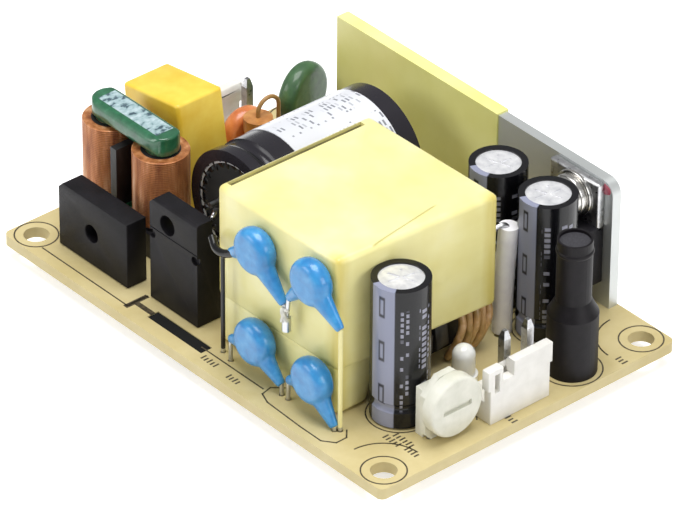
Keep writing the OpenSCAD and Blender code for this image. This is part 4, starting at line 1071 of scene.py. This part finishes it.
class SUPPLY_OT_bulk_end(bpy.types.Operator):
    """Shrinks the bulk capacitor's sleeve over its end in a ring of creases"""
    bl_idname = "supply.bulk_end"
    bl_label = "Bulk capacitor end"

    def execute(self, context):
        lo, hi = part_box("bulk_capacitor_sleeve")
        radius = (hi.x - lo.x)/2
        thick = 1.35*MM
        deselect()
        bpy.ops.mesh.primitive_torus_add(
            location=(0, 0, 0), major_radius=radius - thick, minor_radius=thick,
            major_segments=192, minor_segments=20)
        ring = bpy.context.active_object
        for v in ring.data.vertices:
            angle = math.atan2(v.co.y, v.co.x)
            out = math.hypot(v.co.x, v.co.y)
            # 0 on the ring's outside and 1 on its inner lip, where the film gathers
            inner = min(max((radius - thick*0.8 - out)/(1.4*thick), 0), 1)
            crease = math.sin(31*angle) + 0.6*math.sin(47*angle + 1.0)
            v.co.z *= 1 + 0.18*crease*inner
            pull = 1 - 0.03*crease*inner - 0.12*inner
            v.co.x *= pull
            v.co.y *= pull
        ring.rotation_euler = (math.pi/2, 0, 0)
        settle(ring)
        for v in ring.data.vertices:
            v.co += Vector((BULK_AXIS.x, lo.y + thick*1.15, BULK_AXIS.z))
        deliver([ring], "bulk_sleeve_end", 60, MATS["black_sleeve"])
        return {"FINISHED"}


class SUPPLY_OT_small(bpy.types.Operator):
    """Adds a black strip in the board's slot as painted shadow, the lacquer, the black lead sleeve and
    the twisted leads
    """
    bl_idname = "supply.small_pieces"
    bl_label = "Small pieces"

    def execute(self, context):
        board = BOARD_TOP/MM
        # A black strip stands in the board's slot as painted shadow, so the slot reads dark
        strip = block((-5.1, -22.3, board/2), (10.8, 1.8, board - 0.1), 0.1, 2)
        deliver([strip], "slot_shadow_strip", 0, MATS["slot"])

        deselect()
        bpy.ops.mesh.primitive_uv_sphere_add(
            segments=24, ring_count=12, radius=1,
            location=(25.6*MM, low("heatsink").y, 19.6*MM), scale=(1.2*MM, 0.14*MM, 0.8*MM))
        deliver([bpy.context.active_object], "lacquer_dab", 80, MATS["dab"])

        sleeve = tube(((5.4, -20.9, 19.2), (3.4, -21.2, 17.8), (1.2, -21.2, 17.3), (-0.7, -20.4, 17.9)),
                      0.55, "sleeve")
        deliver([sleeve], "lead_sleeve", 60, MATS["black_sleeve"])

        x, y, z = 14.45, middle("safety_capacitor_1").y/MM - 0.3, 15.0
        lay, step, drop = 0.3, 0.7, 0.34
        strands = []
        for half in (0, math.pi):
            turns = [(x + lay*math.cos(half + k*step), y + lay*math.sin(half + k*step), z - drop*k)
                     for k in range(7)]
            strands.append(tube(turns, 0.33, "strand", 2))
        deliver(strands, "twisted_leads", 60, MATS["frosted"])
        return {"FINISHED"}


class SUPPLY_OT_stage(bpy.types.Operator):
    """Sets the floor, the lights and the camera"""
    bl_idname = "supply.stage"
    bl_label = "Stage"

    def execute(self, context):
        settings = context.scene.supply_stage
        floor_z = min(low(node).z for node in frame["nodes"])
        deselect()
        bpy.ops.mesh.primitive_plane_add(size=6, location=(0, 0, floor_z))
        floor = bpy.context.active_object
        floor.name = "floor"
        mat = bpy.data.materials.new("white_paper_sweep")
        mat.use_nodes = True
        tree = mat.node_tree
        tree.nodes.clear()
        path = add(tree, "ShaderNodeLightPath")
        mirrored = calc(tree, "MAXIMUM", path.outputs["Is Glossy Ray"],
                        path.outputs["Is Transmission Ray"])
        seen = calc(tree, "MAXIMUM", path.outputs["Is Camera Ray"], mirrored)
        paper = add(tree, "ShaderNodeBsdfDiffuse", {"Color": rgb("E6E6E6")})
        x, y, _ = axes(tree)
        # Under the board the paper doesn't glow, so the holes and the gap below look shaded
        shade = calc(tree, "MULTIPLY", within(tree, x, -29*MM, 26*MM, MM),
                     within(tree, y, -22*MM, 21*MM, MM))
        bright = calc(tree, "MULTIPLY", seen, calc(tree, "MULTIPLY_ADD", shade, -0.6, 0.6))
        glow = add(tree, "ShaderNodeEmission", {"Color": (1, 1, 1, 1), "Strength": bright})
        lit = add(tree, "ShaderNodeAddShader", {0: paper.outputs[0], 1: glow.outputs[0]})
        clear = add(tree, "ShaderNodeBsdfTransparent")
        side = add(tree, "ShaderNodeNewGeometry")
        # From below, and to the lamp below it, the paper is clear
        open_side = calc(tree, "MAXIMUM", side.outputs["Backfacing"], path.outputs["Is Shadow Ray"])
        both = add(tree, "ShaderNodeMixShader", {0: open_side, 1: lit.outputs[0], 2: clear.outputs[0]})
        add(tree, "ShaderNodeOutputMaterial", {"Surface": both.outputs[0]})
        paint(floor, mat)

        world = bpy.data.worlds.new("soft_daylight")
        context.scene.world = world
        world.use_nodes = True
        tree = world.node_tree
        tree.nodes.clear()
        path = add(tree, "ShaderNodeLightPath")
        seen = calc(tree, "MAXIMUM", path.outputs["Is Camera Ray"], path.outputs["Is Transmission Ray"])
        ambient = add(tree, "ShaderNodeBackground", {"Color": (1, 1, 1, 1), "Strength": 0.34})
        white = add(tree, "ShaderNodeBackground", {"Color": (1, 1, 1, 1), "Strength": 1.0})
        sky = add(tree, "ShaderNodeMixShader", {0: seen, 1: ambient.outputs[0], 2: white.outputs[0]})
        add(tree, "ShaderNodeOutputWorld", {"Surface": sky.outputs[0]})

        aim = Vector((5.73, -4.21, 10.0))*MM
        for name, place, size, power in (
                ("top_softbox", (0.0, 0.0, 0.75), 0.5, 5.4),
                ("left_softbox", (-0.35, -0.65, 0.35), 0.4, 2.0),
                ("right_softbox", (0.65, 0.05, 0.3), 0.35, 1.5),
                ("under_softbox", (0.1, -0.1, -0.6), 0.5, 0.4)):
            light = bpy.data.lights.new(name, "AREA")
            light.shape = "SQUARE"
            light.size = size
            light.energy = power
            lamp = bpy.data.objects.new(name, light)
            context.scene.collection.objects.link(lamp)
            lamp.location = place
            lamp.rotation_euler = (aim - lamp.location).to_track_quat("-Z", "Y").to_euler()

        camera = bpy.data.cameras.new("camera")
        camera.lens = settings.lens
        camera.sensor_width = 36
        camera.clip_start, camera.clip_end = 0.01, 20
        shot = bpy.data.objects.new("camera", camera)
        context.scene.collection.objects.link(shot)
        back = (Vector((499.89, -437.17, 456.25))*MM - aim).normalized()
        shot.location = aim + back*settings.distance
        look = (-back).to_track_quat("-Z", "Y").to_matrix()
        turn = Matrix.Rotation(settings.roll, 3, "Z")
        shot.rotation_euler = (look @ turn).to_euler()
        context.scene.camera = shot
        context.scene.view_settings.view_transform = "Standard"
        return {"FINISHED"}


class SUPPLY_PT_panel(bpy.types.Panel):
    """Lists the supply's steps in the sidebar"""
    bl_idname = "SUPPLY_PT_panel"
    bl_label = "Power Supply"
    bl_space_type = "VIEW_3D"
    bl_region_type = "UI"
    bl_category = "Power Supply"

    def draw(self, context):
        for step in STEPS:
            self.layout.operator(step.bl_idname)


SETTINGS = {
    "supply_board": BoardSettings, "supply_winding": WindingSettings, "supply_tape": TapeSettings,
    "supply_coating": CoatingSettings, "supply_stage": StageSettings}
STEPS = [SUPPLY_OT_finishes, SUPPLY_OT_print, SUPPLY_OT_choke, SUPPLY_OT_transformer,
         SUPPLY_OT_bodies, SUPPLY_OT_rectifier, SUPPLY_OT_coatings, SUPPLY_OT_bulk_end,
         SUPPLY_OT_small, SUPPLY_OT_stage]


def register():
    for name, group in SETTINGS.items():
        bpy.utils.register_class(group)
        setattr(bpy.types.Scene, name, bpy.props.PointerProperty(type=group))
    for step in STEPS:
        bpy.utils.register_class(step)
    bpy.utils.register_class(SUPPLY_PT_panel)


def unregister():
    bpy.utils.unregister_class(SUPPLY_PT_panel)
    for step in reversed(STEPS):
        bpy.utils.unregister_class(step)
    for name, group in SETTINGS.items():
        delattr(bpy.types.Scene, name)
        bpy.utils.unregister_class(group)


def main():
    register()
    for step in STEPS:
        family, action = step.bl_idname.split(".")
        getattr(getattr(bpy.ops, family), action)()


if __name__ == "__main__":
    main()
